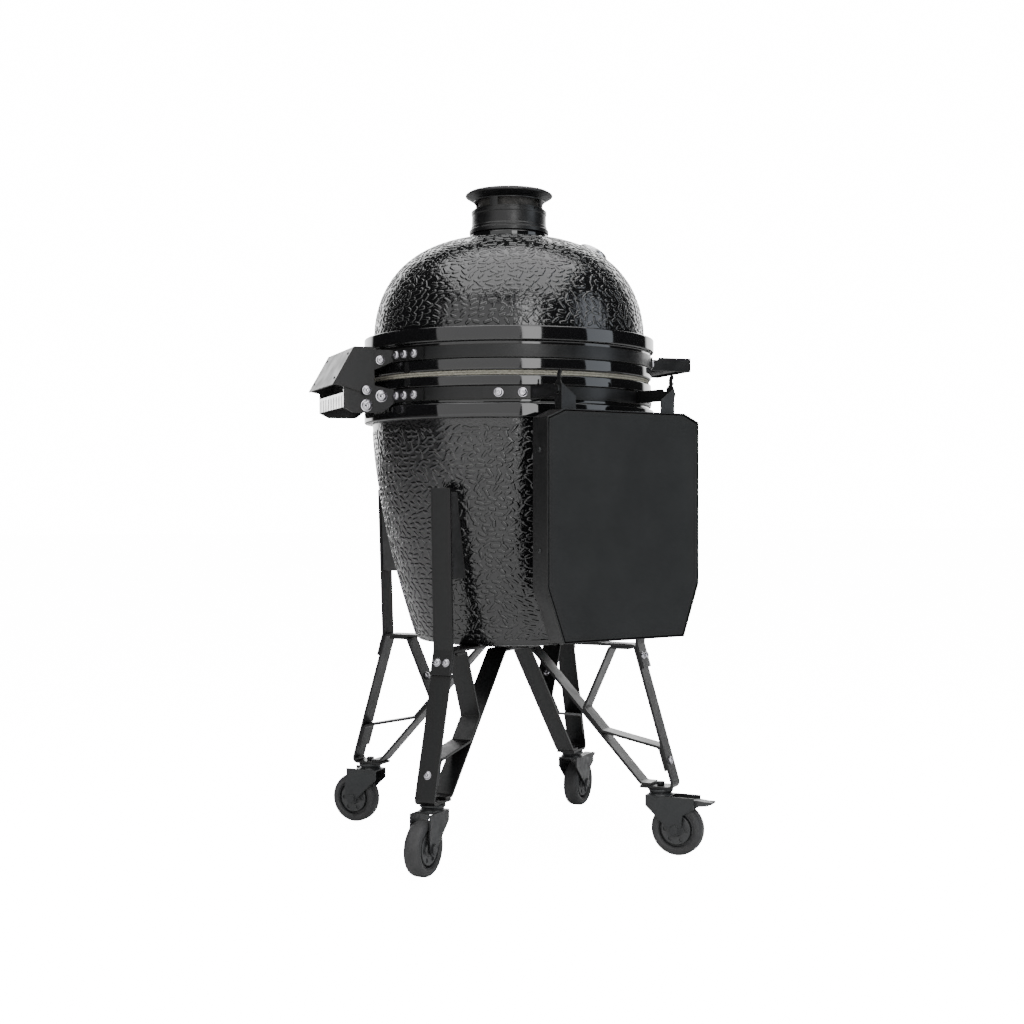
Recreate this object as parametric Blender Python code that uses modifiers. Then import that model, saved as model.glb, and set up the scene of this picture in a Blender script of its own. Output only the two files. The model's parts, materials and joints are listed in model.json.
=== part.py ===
"""Kamado ceramic grill on a four-legged caster stand, with one folding side shelf.

Metres, +Z up. The front with its handle faces -Y, the lid hinge is at +Y and the shelf hangs at -X.
Everything is placed round the axis of the ceramic body, under one root empty that sets the origin below
the middle of the whole grill, on the floor.
"""
from math import acos, asin, atan2, cos, pi, radians, sin, sqrt, tan

import bmesh
import bpy
from mathutils import Matrix, Vector

# ---- driving dimensions ---------------------------------------------------
GAP = 0.0003                 # between pieces that touch
RUN = 0.0004                 # round a pin that turns in a hole
ROUND_STEPS = 36             # segments of the large turned pieces
SMALL_STEPS = 20             # segments of the small turned pieces
PIN_STEPS = 12               # segments of pins and their holes

# ceramic body
COLLAR_RADIUS = 0.286        # the two widest glazed collars
RIM_INSET = 0.005           # glazed rims on both sides of the gasket
SEAT_INSET = 0.0080         # recess that each steel band is strapped into
WALL = 0.028                 # ceramic wall
BOWL_BOTTOM = 0.3950         # underside of the bowl above the floor
BOWL_BOTTOM_RADIUS = 0.182
BOWL_TOP_INSET = 0.0165      # textured bowl below the collar's face
BOWL_SWEEP = 1.6             # exponent of the bowl's taper
FLOOR_THICKNESS = 0.030
COLLAR_HEIGHT = 0.0265
BAND_CLEAR = 0.0060          # bare recess between a collar and its band
BAND_HEIGHT = 0.0245
BAND_THICKNESS = 0.0027
RIM_HEIGHT = 0.0197          # base rim between band and gasket
LID_RIM_HEIGHT = 0.0224
GASKET_HEIGHT = 0.0042       # each of the two felt rings
GASKET_WIDTH = 0.022
LOWER_COLLAR_BOTTOM = 0.8175
DOME_INSET = 0.0195          # textured dome inside the collar's face
DOME_HEIGHT = 0.210
DOME_SIDE_POWER = 0.74
DOME_TOP_POWER = 0.89
NECK_RADIUS = 0.0770
NECK_RISE = 0.2181           # neck's top above the dome's base
FLUE_RADIUS = 0.0560         # smoke hole in the lid

# fire box
FIRE_WALL = 0.018
FIRE_BOWL_RISE = 0.3050      # its top above the ceramic bowl's underside
FIRE_BOWL_RADIUS = 0.2140
FIRE_BOWL_FOOT = 0.135
FIRE_VENT_RADIUS = 0.075
FIRE_RING_DROP = 0.0262      # its top below the bowl's rim
FIRE_RING_RADIUS = 0.2420
GRATE_THICKNESS = 0.006
CHARCOAL_GRATE_RADIUS = 0.112
AIR_HOLE = (0.080, 0.030)    # width and height, in front under the charcoal grate
COOKING_GRATE_RADIUS = 0.2360
GRATE_BAR = 0.007
GRATE_SLOT = 0.017

# draft opening
DRAFT_WIDTH = 0.120
DRAFT_HEIGHT = 0.052
DRAFT_BOTTOM = 0.4320
DRAFT_PROUD = 0.0156         # face of the frame outside the bowl at the frame's top
DRAFT_DEPTH = 0.060
DRAFT_WALL = 0.004
DRAFT_FLANGE = 0.010
DRAFT_RAIL = 0.007
DRAFT_DOOR_THICKNESS = 0.003
DRAFT_TRAVEL = 0.100

# top vent
VENT_FOOT_RADIUS = 0.0785
VENT_FOOT_HEIGHT = 0.009
VENT_RADIUS = 0.0740
VENT_HEIGHT = 0.046
VENT_WALL = 0.0035
VENT_TUBE_CLEAR = 0.0005
VENT_TUBE_WALL = 0.003
VENT_TUBE_SHOWN = 0.020
VENT_WINDOW = 0.070
VENT_CAP_RADIUS = 0.0865
VENT_CAP_HEIGHT = 0.018

# thermometer
GAUGE_RADIUS = 0.031
GAUGE_DEPTH = 0.016
GAUGE_RECESS = 0.007
GAUGE_LIFT = 0.0040          # back of the case above the glaze
GAUGE_BOSS_RADIUS = 0.011
PROBE_RADIUS = 0.0035
PROBE_LENGTH = 0.075
GAUGE_PLACE = 0.1720         # distance of the probe's hole from the axis
NEEDLE_LENGTH = 0.021
NEEDLE_WIDTH = 0.004
NEEDLE_THICKNESS = 0.0012

# lid hinge
HINGE_HALF = 0.104           # to the outer face of the lower bracket
HINGE_OUT = 0.033            # pivot outside the collars
HINGE_DROP = 0.0035          # pivot below the top of the base band
HINGE_SHEET = 0.003
HINGE_PLAY = 0.0006          # between sheets that slide past each other
HINGE_ROD_RADIUS = 0.005
HINGE_BACK_OUT = 0.0410      # outer face of the back plate behind the pivot
HINGE_UNDER = 0.0410         # lower edge of the side plates below the pivot
BRACKET_ARC_END = 37.0       # degrees of band that each flange covers, from the hinge's middle
FLANGE_THICKNESS = 0.0025
HINGE_SLOTS = 9
SLOT_WIDTH = 0.006
SLOT_DEPTH = 0.022
COVER_TOP_OUT = 0.022        # edges of the cover's slope behind the pivot
COVER_LOW_OUT = 0.062
COVER_LOW_RISE = 0.010       # its lower edge above the pivot
COVER_BOLT_RADIUS = 0.0075

# handle
HANDLE_HALF = 0.078
HANDLE_OUT = 0.075           # front plate's face outside the collars
HANDLE_RISE = 0.0036         # top edge above the lid band
HANDLE_HEIGHT = 0.0270
HANDLE_SHEET = 0.003
HANDLE_BAR_RADIUS = 0.0105
HANDLE_BAR_BACK = 0.018      # bar's axis behind the front plate
HANDLE_ARC_END = 26.0

# side shelf
SHELF_TURN = 14.3            # degrees towards the front from straight out
SHELF_HALF_WIDTH = 0.1705
SHELF_DROP = 0.0355          # its top below the pivot
SHELF_HEIGHT = 0.4080
SHELF_OUT = 0.0878           # outer face outside the collars
SHELF_DEPTH = 0.045
SHELF_SHEET = 0.002
PANEL_THICKNESS = 0.0148
PANEL_GAP = 0.0015
TOP_CHAMFER = (0.035, 0.015)
LOW_CHAMFER = (0.035, 0.096)
ARM_HALF = 0.128             # outer face of the shelf arms
ARM_SHEET = 0.003
ARM_FLANGE = 0.0315
ARM_OUT = 0.0696             # front of the arms outside the collars
ARM_SHORT = 0.0515           # their lower end above the shelf's
PIVOT_BEYOND = 0.059         # pivot outside the collars
PIVOT_RISE = 0.0120          # pivot above the bottom of the base band
PIVOT_RADIUS = 0.004
PIVOT_HEAD_RADIUS = 0.0075
PIVOT_HEAD = 0.0045
BRACKET_ARC = 18.0           # degrees of band under each shelf bracket

# stand
BAR_WIDTH = 0.040
BAR = 0.005
BEND_RADIUS = 0.010
LEG_TURN = 45.0              # first leg from +X, degrees
LEGS = ("rear_right", "rear_left", "front_left", "front_right")
CASTER_INSET = 0.0348        # swivel axis inside the foot's outer end
FOOT_Z = 0.1240              # underside of the plate that the caster hangs from
FOOT_LENGTH = 0.070
FOOT_SPREAD = 0.0795         # foot's outer end beyond the knee
KNEE_INSET = 0.0120          # where the leg bar turns down, inside the collars' face
HUB_HALF = 0.080
BAR_INNER_END = 0.045
POST_DROP = 0.1275           # top of the posts below the collar
POST_TOP_LEAN = 0.0105
POST_FOOT_DROP = 0.044       # length of post below the knee
SPLAY_INNER = 0.0560         # inner bar's bend from the axis
INNER_FOOT_INSET = 0.0317    # inner bar's foot inside the swivel axis
INNER_TAB = 0.0185            # flat end that lies on the caster plate
BRACE_FOOT_Z = 0.158
BRACE_BEND_Z = 0.200
BRACE_LAND = (0.2050, 0.1650)
BRACE_TOP = (0.2200, 0.2620)
PAD_WIDTH = 0.036
PAD_DROP = 0.0070            # top of the pads below the posts' tops
PAD_FOOT = 0.1290             # bottom of the pads above the bowl's underside

# casters
WHEEL_RADIUS = 0.050
WHEEL_WIDTH = 0.032
WHEEL_EDGE = 0.008
TRAIL = 0.034                # axle behind the swivel axis
FORK_SHEET = 0.003
FORK_CLEAR = 0.0025
FORK_TOP = 0.1120
AXLE_RADIUS = 0.006
AXLE_HEAD_RADIUS = 0.0095
AXLE_HEAD = 0.003
RACE_RADIUS = 0.024
STEM_RADIUS = 0.005
STEM_NUT_RADIUS = 0.009
STEM_NUT = 0.0028
PEDAL_WIDTH = 0.024
PEDAL_PIN_RADIUS = 0.003
PEDAL_PIN = (0.064, 0.0985)  # from the swivel axis outward, and height
PEDAL_REACH = 0.104

# ---- heights and radii that follow from the ones above ----------------------
RIM_RADIUS = COLLAR_RADIUS - RIM_INSET
SEAT_RADIUS = COLLAR_RADIUS - SEAT_INSET
BOWL_TOP_RADIUS = COLLAR_RADIUS - BOWL_TOP_INSET
DOME_RADIUS = COLLAR_RADIUS - DOME_INSET
LOWER_COLLAR_TOP = LOWER_COLLAR_BOTTOM + COLLAR_HEIGHT
BASE_BAND_BOTTOM = LOWER_COLLAR_TOP + BAND_CLEAR
BASE_BAND_TOP = BASE_BAND_BOTTOM + BAND_HEIGHT
BASE_RIM = BASE_BAND_TOP + RIM_HEIGHT
LID_RIM = BASE_RIM + 2 * GASKET_HEIGHT + 3 * GAP
LID_BAND_BOTTOM = LID_RIM + LID_RIM_HEIGHT
LID_BAND_TOP = LID_BAND_BOTTOM + BAND_HEIGHT
UPPER_COLLAR_BOTTOM = LID_BAND_TOP + BAND_CLEAR
UPPER_COLLAR_TOP = UPPER_COLLAR_BOTTOM + COLLAR_HEIGHT
DOME_BASE = UPPER_COLLAR_TOP - 0.007
NECK_TOP = DOME_BASE + NECK_RISE
BAND_INNER = SEAT_RADIUS + GAP
BAND_OUTER = BAND_INNER + BAND_THICKNESS
RIM_INNER = SEAT_RADIUS - WALL
DRAFT_TOP = DRAFT_BOTTOM + DRAFT_HEIGHT + DRAFT_FLANGE
DRAFT_SHARE = (LOWER_COLLAR_BOTTOM - DRAFT_TOP) / (LOWER_COLLAR_BOTTOM - BOWL_BOTTOM)
DRAFT_FRONT = BOWL_TOP_RADIUS - (BOWL_TOP_RADIUS - BOWL_BOTTOM_RADIUS) * DRAFT_SHARE ** BOWL_SWEEP + DRAFT_PROUD
FIRE_RING_TOP = BASE_RIM - FIRE_RING_DROP
FIRE_BOWL_TOP = BOWL_BOTTOM + FIRE_BOWL_RISE
HINGE_Y = COLLAR_RADIUS + HINGE_OUT
HINGE_Z = BASE_BAND_TOP - HINGE_DROP
HINGE_BACK = HINGE_Y + HINGE_BACK_OUT
HINGE_BOTTOM = HINGE_Z - HINGE_UNDER
COVER_TOP_Y = HINGE_Y + COVER_TOP_OUT
COVER_LOW_Y = HINGE_Y + COVER_LOW_OUT
COVER_LOW_Z = HINGE_Z + COVER_LOW_RISE
HANDLE_REACH = COLLAR_RADIUS + HANDLE_OUT
HANDLE_TOP = LID_BAND_TOP + HANDLE_RISE
HANDLE_BOTTOM = HANDLE_TOP - HANDLE_HEIGHT
PIVOT_OUT = COLLAR_RADIUS + PIVOT_BEYOND
PIVOT_Z = BASE_BAND_BOTTOM + PIVOT_RISE
SHELF_FACE = COLLAR_RADIUS + SHELF_OUT
SHELF_TOP = PIVOT_Z - SHELF_DROP
SHELF_BOTTOM = SHELF_TOP - SHELF_HEIGHT
ARM_FRONT = COLLAR_RADIUS + ARM_OUT
ARM_LOW = SHELF_BOTTOM + ARM_SHORT
KNEE_REACH = COLLAR_RADIUS - KNEE_INSET
FOOT_REACH = KNEE_REACH + FOOT_SPREAD
CASTER_CIRCLE = FOOT_REACH - CASTER_INSET
INNER_FOOT = CASTER_CIRCLE - INNER_FOOT_INSET
POST_TOP = LOWER_COLLAR_BOTTOM - POST_DROP
PAD_TOP = POST_TOP - PAD_DROP
PAD_BOTTOM = BOWL_BOTTOM + PAD_FOOT
KNEE_Z = BOWL_BOTTOM - GAP               # top face of the bars under the bowl
SHELF_ANGLE = radians(180.0 + SHELF_TURN)
REACH_LEFT = SHELF_FACE * cos(radians(SHELF_TURN)) + SHELF_HALF_WIDTH * sin(radians(SHELF_TURN))
REACH_RIGHT = ((CASTER_CIRCLE + PEDAL_REACH) * cos(radians(LEG_TURN))
               + PEDAL_WIDTH / 2 * sin(radians(LEG_TURN)))


# ---- small tools --------------------------------------------------------------
def clear_scene():
    for obj in list(bpy.data.objects):
        bpy.data.objects.remove(obj, do_unlink=True)


def collection(name):
    made = bpy.data.collections.new(name)
    bpy.context.scene.collection.children.link(made)
    return made


def material(name, color, roughness, metallic=0.0):
    made = bpy.data.materials.new(name)
    made.use_nodes = True
    shader = made.node_tree.nodes["Principled BSDF"]
    shader.inputs["Base Color"].default_value = (*color, 1.0)
    shader.inputs["Roughness"].default_value = roughness
    shader.inputs["Metallic"].default_value = metallic
    return made


def empty(name, place, turn=0.0, parent=None):
    made = bpy.data.objects.new(name, None)
    made.location = place
    made.rotation_euler = (0.0, 0.0, turn)
    made.parent = parent
    PARTS.objects.link(made)
    return made


def hung_on(name, pivot, parent):
    """An empty on a joint's axis, holding one that keeps the parent's own coordinates."""
    axis = empty(f"{name}_axis", pivot, 0.0, parent)
    return empty(name, [-v for v in pivot], 0.0, axis)


def add_piece(name, mesh, look=None, parent=None, place=(0, 0, 0), target=None):
    made = bpy.data.objects.new(name, mesh)
    made.location = place
    made.parent = parent
    (target or PARTS).objects.link(made)
    if look:
        mesh.materials.append(look)
    return made


def mesh_from(bm, name):
    bmesh.ops.recalc_face_normals(bm, faces=bm.faces)
    mesh = bpy.data.meshes.new(name)
    bm.to_mesh(mesh)
    bm.free()
    return mesh


def box_mesh(name, low, high):
    """A box between two corners."""
    bm = bmesh.new()
    bmesh.ops.create_cube(bm, size=1.0)
    size = [b - a for a, b in zip(low, high)]
    middle = [(a + b) / 2 for a, b in zip(low, high)]
    bmesh.ops.transform(bm, matrix=Matrix.Translation(middle) @ Matrix.Diagonal((*size, 1.0)), verts=bm.verts)
    return mesh_from(bm, name)


def rod_mesh(name, radius, start, end, steps=SMALL_STEPS):
    """A round rod from one point to another."""
    a, b = Vector(start), Vector(end)
    along = b - a
    bm = bmesh.new()
    bmesh.ops.create_cone(
        bm, cap_ends=True, segments=steps, radius1=radius, radius2=radius, depth=along.length,
        matrix=Matrix.Translation((a + b) / 2) @ along.to_track_quat("Z", "Y").to_matrix().to_4x4())
    return mesh_from(bm, name)


def plate_mesh(name, outlines, low, high, plane="xy"):
    """Closed outlines filled and given a thickness from low to high across their plane.

    plane xy rises along z; plane yz is drawn in (y, z) and rises along x; plane xz in (x, z), along y.
    """
    curve = bpy.data.curves.new(name, "CURVE")
    curve.dimensions = "2D"
    curve.fill_mode = "BOTH"
    curve.extrude = (high - low) / 2
    for outline in outlines:
        spline = curve.splines.new("POLY")
        spline.points.add(len(outline) - 1)
        for point, (u, v) in zip(spline.points, outline):
            point.co = (u, v, 0.0, 1.0)
        spline.use_cyclic_u = True
    holder = bpy.data.objects.new(name, curve)
    CUTTERS.objects.link(holder)
    mesh = bpy.data.meshes.new_from_object(holder.evaluated_get(bpy.context.evaluated_depsgraph_get()))
    bpy.data.objects.remove(holder)
    turns = {
        "xy": Matrix.Identity(4),
        "yz": Matrix(((0, 0, 1, 0), (1, 0, 0, 0), (0, 1, 0, 0), (0, 0, 0, 1))),
        "xz": Matrix(((1, 0, 0, 0), (0, 0, -1, 0), (0, 1, 0, 0), (0, 0, 0, 1))),
    }
    middle = (low + high) / 2 * (-1 if plane == "xz" else 1)
    bm = bmesh.new()
    bm.from_mesh(mesh)
    bmesh.ops.remove_doubles(bm, verts=bm.verts, dist=0.00001)
    bmesh.ops.transform(bm, matrix=turns[plane] @ Matrix.Translation((0, 0, middle)), verts=bm.verts)
    return mesh_from(bm, name)


def turned_piece(name, profile, look, parent, steps=ROUND_STEPS, place=(0, 0, 0), target=None):
    """A closed profile of (radius, height), outer side from top to bottom, screwed round the z axis."""
    mesh = bpy.data.meshes.new(name)
    count = len(profile)
    edges = [(i, (i + 1) % count) for i in range(count)]
    if profile[0][0] == 0.0 and profile[-1][0] == 0.0:
        edges.pop()
    mesh.from_pydata([(r, 0.0, z) for r, z in profile], edges, [])
    made = add_piece(name, mesh, look, parent, place, target)
    screw = made.modifiers.new("turn", "SCREW")
    screw.steps = steps
    screw.render_steps = steps
    screw.use_merge_vertices = True
    screw.merge_threshold = 0.00001
    screw.use_smooth_shade = True
    return made


def baked(made):
    """The piece's evaluated mesh, with its modifiers applied."""
    mesh = bpy.data.meshes.new_from_object(made.evaluated_get(bpy.context.evaluated_depsgraph_get()))
    bm = bmesh.new()
    bm.from_mesh(mesh)
    bmesh.ops.remove_doubles(bm, verts=bm.verts, dist=0.00001)
    return mesh_from(bm, made.name)


def boolean(made, mesh, operation):
    """Cut a mesh from a piece, or join it on; the tool lies in the cutters' collection."""
    tool = add_piece(f"{made.name}_{operation.lower()}_{len(made.modifiers)}", mesh, target=CUTTERS)
    tool.parent = made.parent
    tool.location = made.location
    tool.hide_render = True
    tool.display_type = "WIRE"
    step = made.modifiers.new(operation.lower(), "BOOLEAN")
    step.operation = operation
    step.solver = "EXACT"
    step.object = tool


def cut(made, *meshes):
    for mesh in meshes:
        boolean(made, mesh, "DIFFERENCE")


def join(made, *meshes):
    for mesh in meshes:
        boolean(made, mesh, "UNION")


def round_edges(made, width, segments=2, angle=35.0):
    bevel = made.modifiers.new("round", "BEVEL")
    bevel.width = width
    bevel.segments = segments
    bevel.limit_method = "ANGLE"
    bevel.angle_limit = radians(angle)


def arc(centre, radius, start, end, steps):
    """Points on a circle, angles in degrees."""
    turns = [radians(start + (end - start) * i / steps) for i in range(steps + 1)]
    return [(centre[0] + radius * cos(t), centre[1] + radius * sin(t)) for t in turns]


def ring_strip(inner, outer, start, end, steps=4):
    """Outline of a strip that follows the band, its chords clear of the inner radius; angles in degrees."""
    spread = 1 / cos(radians(end - start) / steps / 2)
    return arc((0, 0), outer * spread, start, end, steps) + arc((0, 0), inner * spread, end, start, steps)


def bent(points, radius, steps=3):
    """A path with its inside corners rounded."""
    path = [Vector(points[0])]
    for before, corner, after in zip(points, points[1:], points[2:]):
        here, a, b = Vector(corner), Vector(before), Vector(after)
        to_a, to_b = (a - here).normalized(), (b - here).normalized()
        half = to_a.angle(to_b) / 2
        back = min(radius / tan(half), (a - here).length * 0.45, (b - here).length * 0.45)
        middle = here + (to_a + to_b).normalized() * (back / cos(half))
        first, last = here + to_a * back, here + to_b * back
        begin = atan2(first.y - middle.y, first.x - middle.x)
        sweep = atan2(last.y - middle.y, last.x - middle.x) - begin
        sweep = (sweep + pi) % (2 * pi) - pi
        reach = (first - middle).length
        for i in range(steps + 1):
            turn = begin + sweep * i / steps
            path.append(middle + Vector((cos(turn), sin(turn))) * reach)
    path.append(Vector(points[-1]))
    return path


def strip(points, thickness, radius=BEND_RADIUS):
    """Outline of flat bar bent along a path; the path is its face, the bar lies to the path's right."""
    path = bent(points, radius)
    inner = []
    for i, here in enumerate(path):
        before = (here - path[i - 1]).normalized() if i else None
        after = (path[i + 1] - here).normalized() if i + 1 < len(path) else None
        run = ((before or after) + (after or before)).normalized()
        side = Vector((run.y, -run.x))
        stretch = thickness / (1.0
                               if before is None or after is None else max(side.dot(Vector((after.y,
                                       -after.x))), 0.5))
        inner.append(here + side * stretch)
    return [tuple(p) for p in path] + [tuple(p) for p in reversed(inner)]


def bowl_radius(z):
    """Outer radius of the bowl below its collar."""
    share = (LOWER_COLLAR_BOTTOM - z) / (LOWER_COLLAR_BOTTOM - BOWL_BOTTOM)
    return BOWL_TOP_RADIUS - (BOWL_TOP_RADIUS - BOWL_BOTTOM_RADIUS) * max(share, 0.0) ** BOWL_SWEEP


def dome_point(share, inset=0.0):
    """A point of the dome's profile, from its rim (0) to its top (1)."""
    turn = share * pi / 2
    return ((DOME_RADIUS - inset) * cos(turn) ** DOME_SIDE_POWER,
            DOME_BASE + (DOME_HEIGHT - inset) * sin(turn) ** DOME_TOP_POWER)


def dome_share(radius):
    """The share along the dome's profile at which it has a given radius."""
    return acos((radius / DOME_RADIUS) ** (1 / DOME_SIDE_POWER)) / (pi / 2)


# ---- ceramic body ---------------------------------------------------------------
def bowl_profile():
    levels = [LOWER_COLLAR_BOTTOM - (LOWER_COLLAR_BOTTOM - BOWL_BOTTOM - 0.010) * i / 6 for i in range(1, 7)]
    outer = [(RIM_RADIUS, BASE_RIM), (RIM_RADIUS, BASE_BAND_TOP + 0.001),
             (SEAT_RADIUS, BASE_BAND_TOP + 0.001),
             (SEAT_RADIUS, LOWER_COLLAR_TOP), (COLLAR_RADIUS, LOWER_COLLAR_TOP),
             (COLLAR_RADIUS, LOWER_COLLAR_BOTTOM + 0.003), (BOWL_TOP_RADIUS, LOWER_COLLAR_BOTTOM)]
    outer += [(bowl_radius(z), z) for z in levels]
    outer += [(BOWL_BOTTOM_RADIUS - 0.006, BOWL_BOTTOM), (0.0, BOWL_BOTTOM)]
    floor = BOWL_BOTTOM + FLOOR_THICKNESS
    inside = [(0.0, floor), (bowl_radius(floor) - WALL - 0.015, floor),
              (bowl_radius(floor + 0.02) - WALL, floor + 0.02)]
    inside += [(bowl_radius(z) - WALL, z) for z in levels[4::-2]]
    inside += [(RIM_INNER, LOWER_COLLAR_TOP), (RIM_INNER, BASE_RIM)]
    return inside + outer


def lid_profile():
    shares = [i / 8 for i in range(1, 8) if dome_point(i / 8)[0] > NECK_RADIUS + 0.01]
    neck_base = dome_point(dome_share(NECK_RADIUS))[1]
    outer = [(FLUE_RADIUS, NECK_TOP), (NECK_RADIUS, NECK_TOP), (NECK_RADIUS, neck_base)]
    outer += [dome_point(s) for s in reversed(shares)]
    outer += [(DOME_RADIUS, UPPER_COLLAR_TOP + 0.001), (COLLAR_RADIUS, UPPER_COLLAR_TOP - 0.003),
              (COLLAR_RADIUS, UPPER_COLLAR_BOTTOM), (SEAT_RADIUS, UPPER_COLLAR_BOTTOM),
              (SEAT_RADIUS, LID_BAND_BOTTOM - 0.001), (RIM_RADIUS, LID_BAND_BOTTOM - 0.001),
              (RIM_RADIUS, LID_RIM)]
    inside = [(RIM_INNER, LID_RIM), (RIM_INNER, UPPER_COLLAR_BOTTOM)]
    inside += [dome_point(s, WALL) for s in shares[1::2] if dome_point(s, WALL)[0] > FLUE_RADIUS + 0.01]
    inside += [(FLUE_RADIUS, dome_point(0.9, WALL)[1])]
    return outer + inside


def make_ceramic():
    bowl = turned_piece("ceramic_base", bowl_profile(), GLAZE, ROOT)
    hole = (DRAFT_WIDTH / 2 + GAP, DRAFT_BOTTOM - GAP, DRAFT_BOTTOM + DRAFT_HEIGHT + GAP)
    cut(bowl, box_mesh("draft_hole", (-hole[0], -DRAFT_FRONT - 0.02, hole[1]), (hole[0], -0.10, hole[2])))
    lid = turned_piece("ceramic_lid", lid_profile(), GLAZE, LID)
    centre, normal = gauge_seat()
    cut(lid, rod_mesh("probe_hole", PROBE_RADIUS + RUN, centre - normal * 0.08, centre + normal * 0.03, 12))
    inner, outer = RIM_INNER + 0.004, RIM_INNER + 0.004 + GASKET_WIDTH
    for name, low, parent in (("base_gasket", BASE_RIM + GAP, ROOT),
                              ("lid_gasket", BASE_RIM + GASKET_HEIGHT + 2 * GAP, LID)):
        high = low + GASKET_HEIGHT
        turned_piece(name, [(outer, high), (outer, low), (inner, low), (inner, high)], FELT, parent)
    for name, bottom, parent in (("base_band", BASE_BAND_BOTTOM, ROOT), ("lid_band", LID_BAND_BOTTOM, LID)):
        top = bottom + BAND_HEIGHT - GAP
        turned_piece(name, [(BAND_OUTER, top), (BAND_OUTER, bottom), (BAND_INNER, bottom), (BAND_INNER, top)],
                     POWDER, parent)


# ---- fire box -----------------------------------------------------------------------
def grate_outlines(radius):
    """A round plate's outline and the slots between its bars."""
    outlines = [arc((0, 0), radius, 0, 360, 40)[:-1]]
    pitch = GRATE_SLOT + GRATE_BAR
    rows = int((radius - 2 * GRATE_BAR) / pitch)
    for row in range(-rows, rows + 1):
        low, high = row * pitch - GRATE_SLOT / 2, row * pitch + GRATE_SLOT / 2
        reach = sqrt((radius - 2 * GRATE_BAR) ** 2 - max(abs(low), abs(high)) ** 2) if \
            max(abs(low), abs(high)) < radius - 2 * GRATE_BAR else 0.0
        if reach > 0.03:
            for side in (-1, 1):
                near, far = side * GRATE_BAR, side * reach
                outlines.append([(near, low), (far, low), (far, high), (near, high)])
    return outlines


def make_fire_box():
    floor = BOWL_BOTTOM + FLOOR_THICKNESS + GAP
    low = floor + 0.030
    fire = turned_piece("fire_bowl", [
        (FIRE_BOWL_RADIUS, FIRE_BOWL_TOP), (FIRE_BOWL_RADIUS - 0.012, 0.60), (0.165, 0.49), (FIRE_BOWL_FOOT,
                low),
        (FIRE_BOWL_FOOT - 0.015, floor), (FIRE_VENT_RADIUS, floor), (FIRE_VENT_RADIUS, low + 0.014),
        (CHARCOAL_GRATE_RADIUS + 0.002, low + 0.014), (0.149, 0.500),
        (FIRE_BOWL_RADIUS - 0.012 - FIRE_WALL, 0.605), (FIRE_BOWL_RADIUS - FIRE_WALL, FIRE_BOWL_TOP)],
        CHAMOTTE, ROOT)
    cut(fire, box_mesh("air_hole", (-AIR_HOLE[0] / 2, -0.25, floor + 0.006),
                       (AIR_HOLE[0] / 2, 0, floor + 0.006 + AIR_HOLE[1])))
    ring = FIRE_BOWL_TOP + GAP
    turned_piece("fire_ring", [
        (FIRE_RING_RADIUS, FIRE_RING_TOP), (FIRE_BOWL_RADIUS, ring), (FIRE_BOWL_RADIUS - FIRE_WALL, ring),
        (FIRE_RING_RADIUS - FIRE_WALL, FIRE_RING_TOP)], CHAMOTTE, ROOT)
    rest = low + 0.014 + GAP
    add_piece("charcoal_grate", plate_mesh("charcoal_grate", grate_outlines(CHARCOAL_GRATE_RADIUS), rest,
              rest + GRATE_THICKNESS), IRON, ROOT)
    rest = FIRE_RING_TOP + GAP
    add_piece("cooking_grate", plate_mesh("cooking_grate", grate_outlines(COOKING_GRATE_RADIUS), rest,
              rest + GRATE_THICKNESS), STEEL, ROOT)


# ---- draft opening ------------------------------------------------------------------
def make_draft():
    half, low, high = DRAFT_WIDTH / 2, DRAFT_BOTTOM, DRAFT_BOTTOM + DRAFT_HEIGHT
    face = -DRAFT_FRONT
    sleeve = add_piece("draft_frame",
                       box_mesh("draft_frame", (-half, face, low), (half, face + DRAFT_DEPTH, high)),
                       STEEL, ROOT)
    edge = DRAFT_FLANGE
    join(sleeve, box_mesh("draft_flange", (-half - edge, face, low - edge),
                          (half + edge, face + 0.003, high + edge)))
    door_room = DRAFT_DOOR_THICKNESS + 2 * GAP
    for z0, z1, lip in ((low - edge, low - edge + 0.003, 0.006), (high + edge - 0.003, high + edge, -0.006)):
        join(sleeve, box_mesh("draft_rail", (-half - edge, face - door_room, z0),
                              (half + edge, face + 0.001, z1)))
        hook = sorted((z0 if lip > 0 else z1, (z0 if lip > 0 else z1) + lip))
        join(sleeve, box_mesh("draft_lip", (-half - edge, face - door_room - 0.0015, hook[0]),
                              (half + edge, face - door_room, hook[1])))
    wall = DRAFT_WALL
    cut(sleeve, box_mesh("draft_bore", (-half + wall, face - 0.05, low + wall),
                         (half - wall, face + DRAFT_DEPTH + 0.05, high - wall)))
    gap = GAP
    door = add_piece("draft_door", box_mesh(
        "draft_door", (-half - 0.004, face - gap - DRAFT_DOOR_THICKNESS, low - edge + 0.003 + gap),
        (half + 0.004, face - gap, high + edge - 0.003 - gap)), STEEL, ROOT)
    middle = (low + high) / 2
    join(door, rod_mesh("draft_knob", 0.006, (half - 0.018, face - 0.020, middle),
                        (half - 0.018, face - 0.001, middle), 12))


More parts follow.
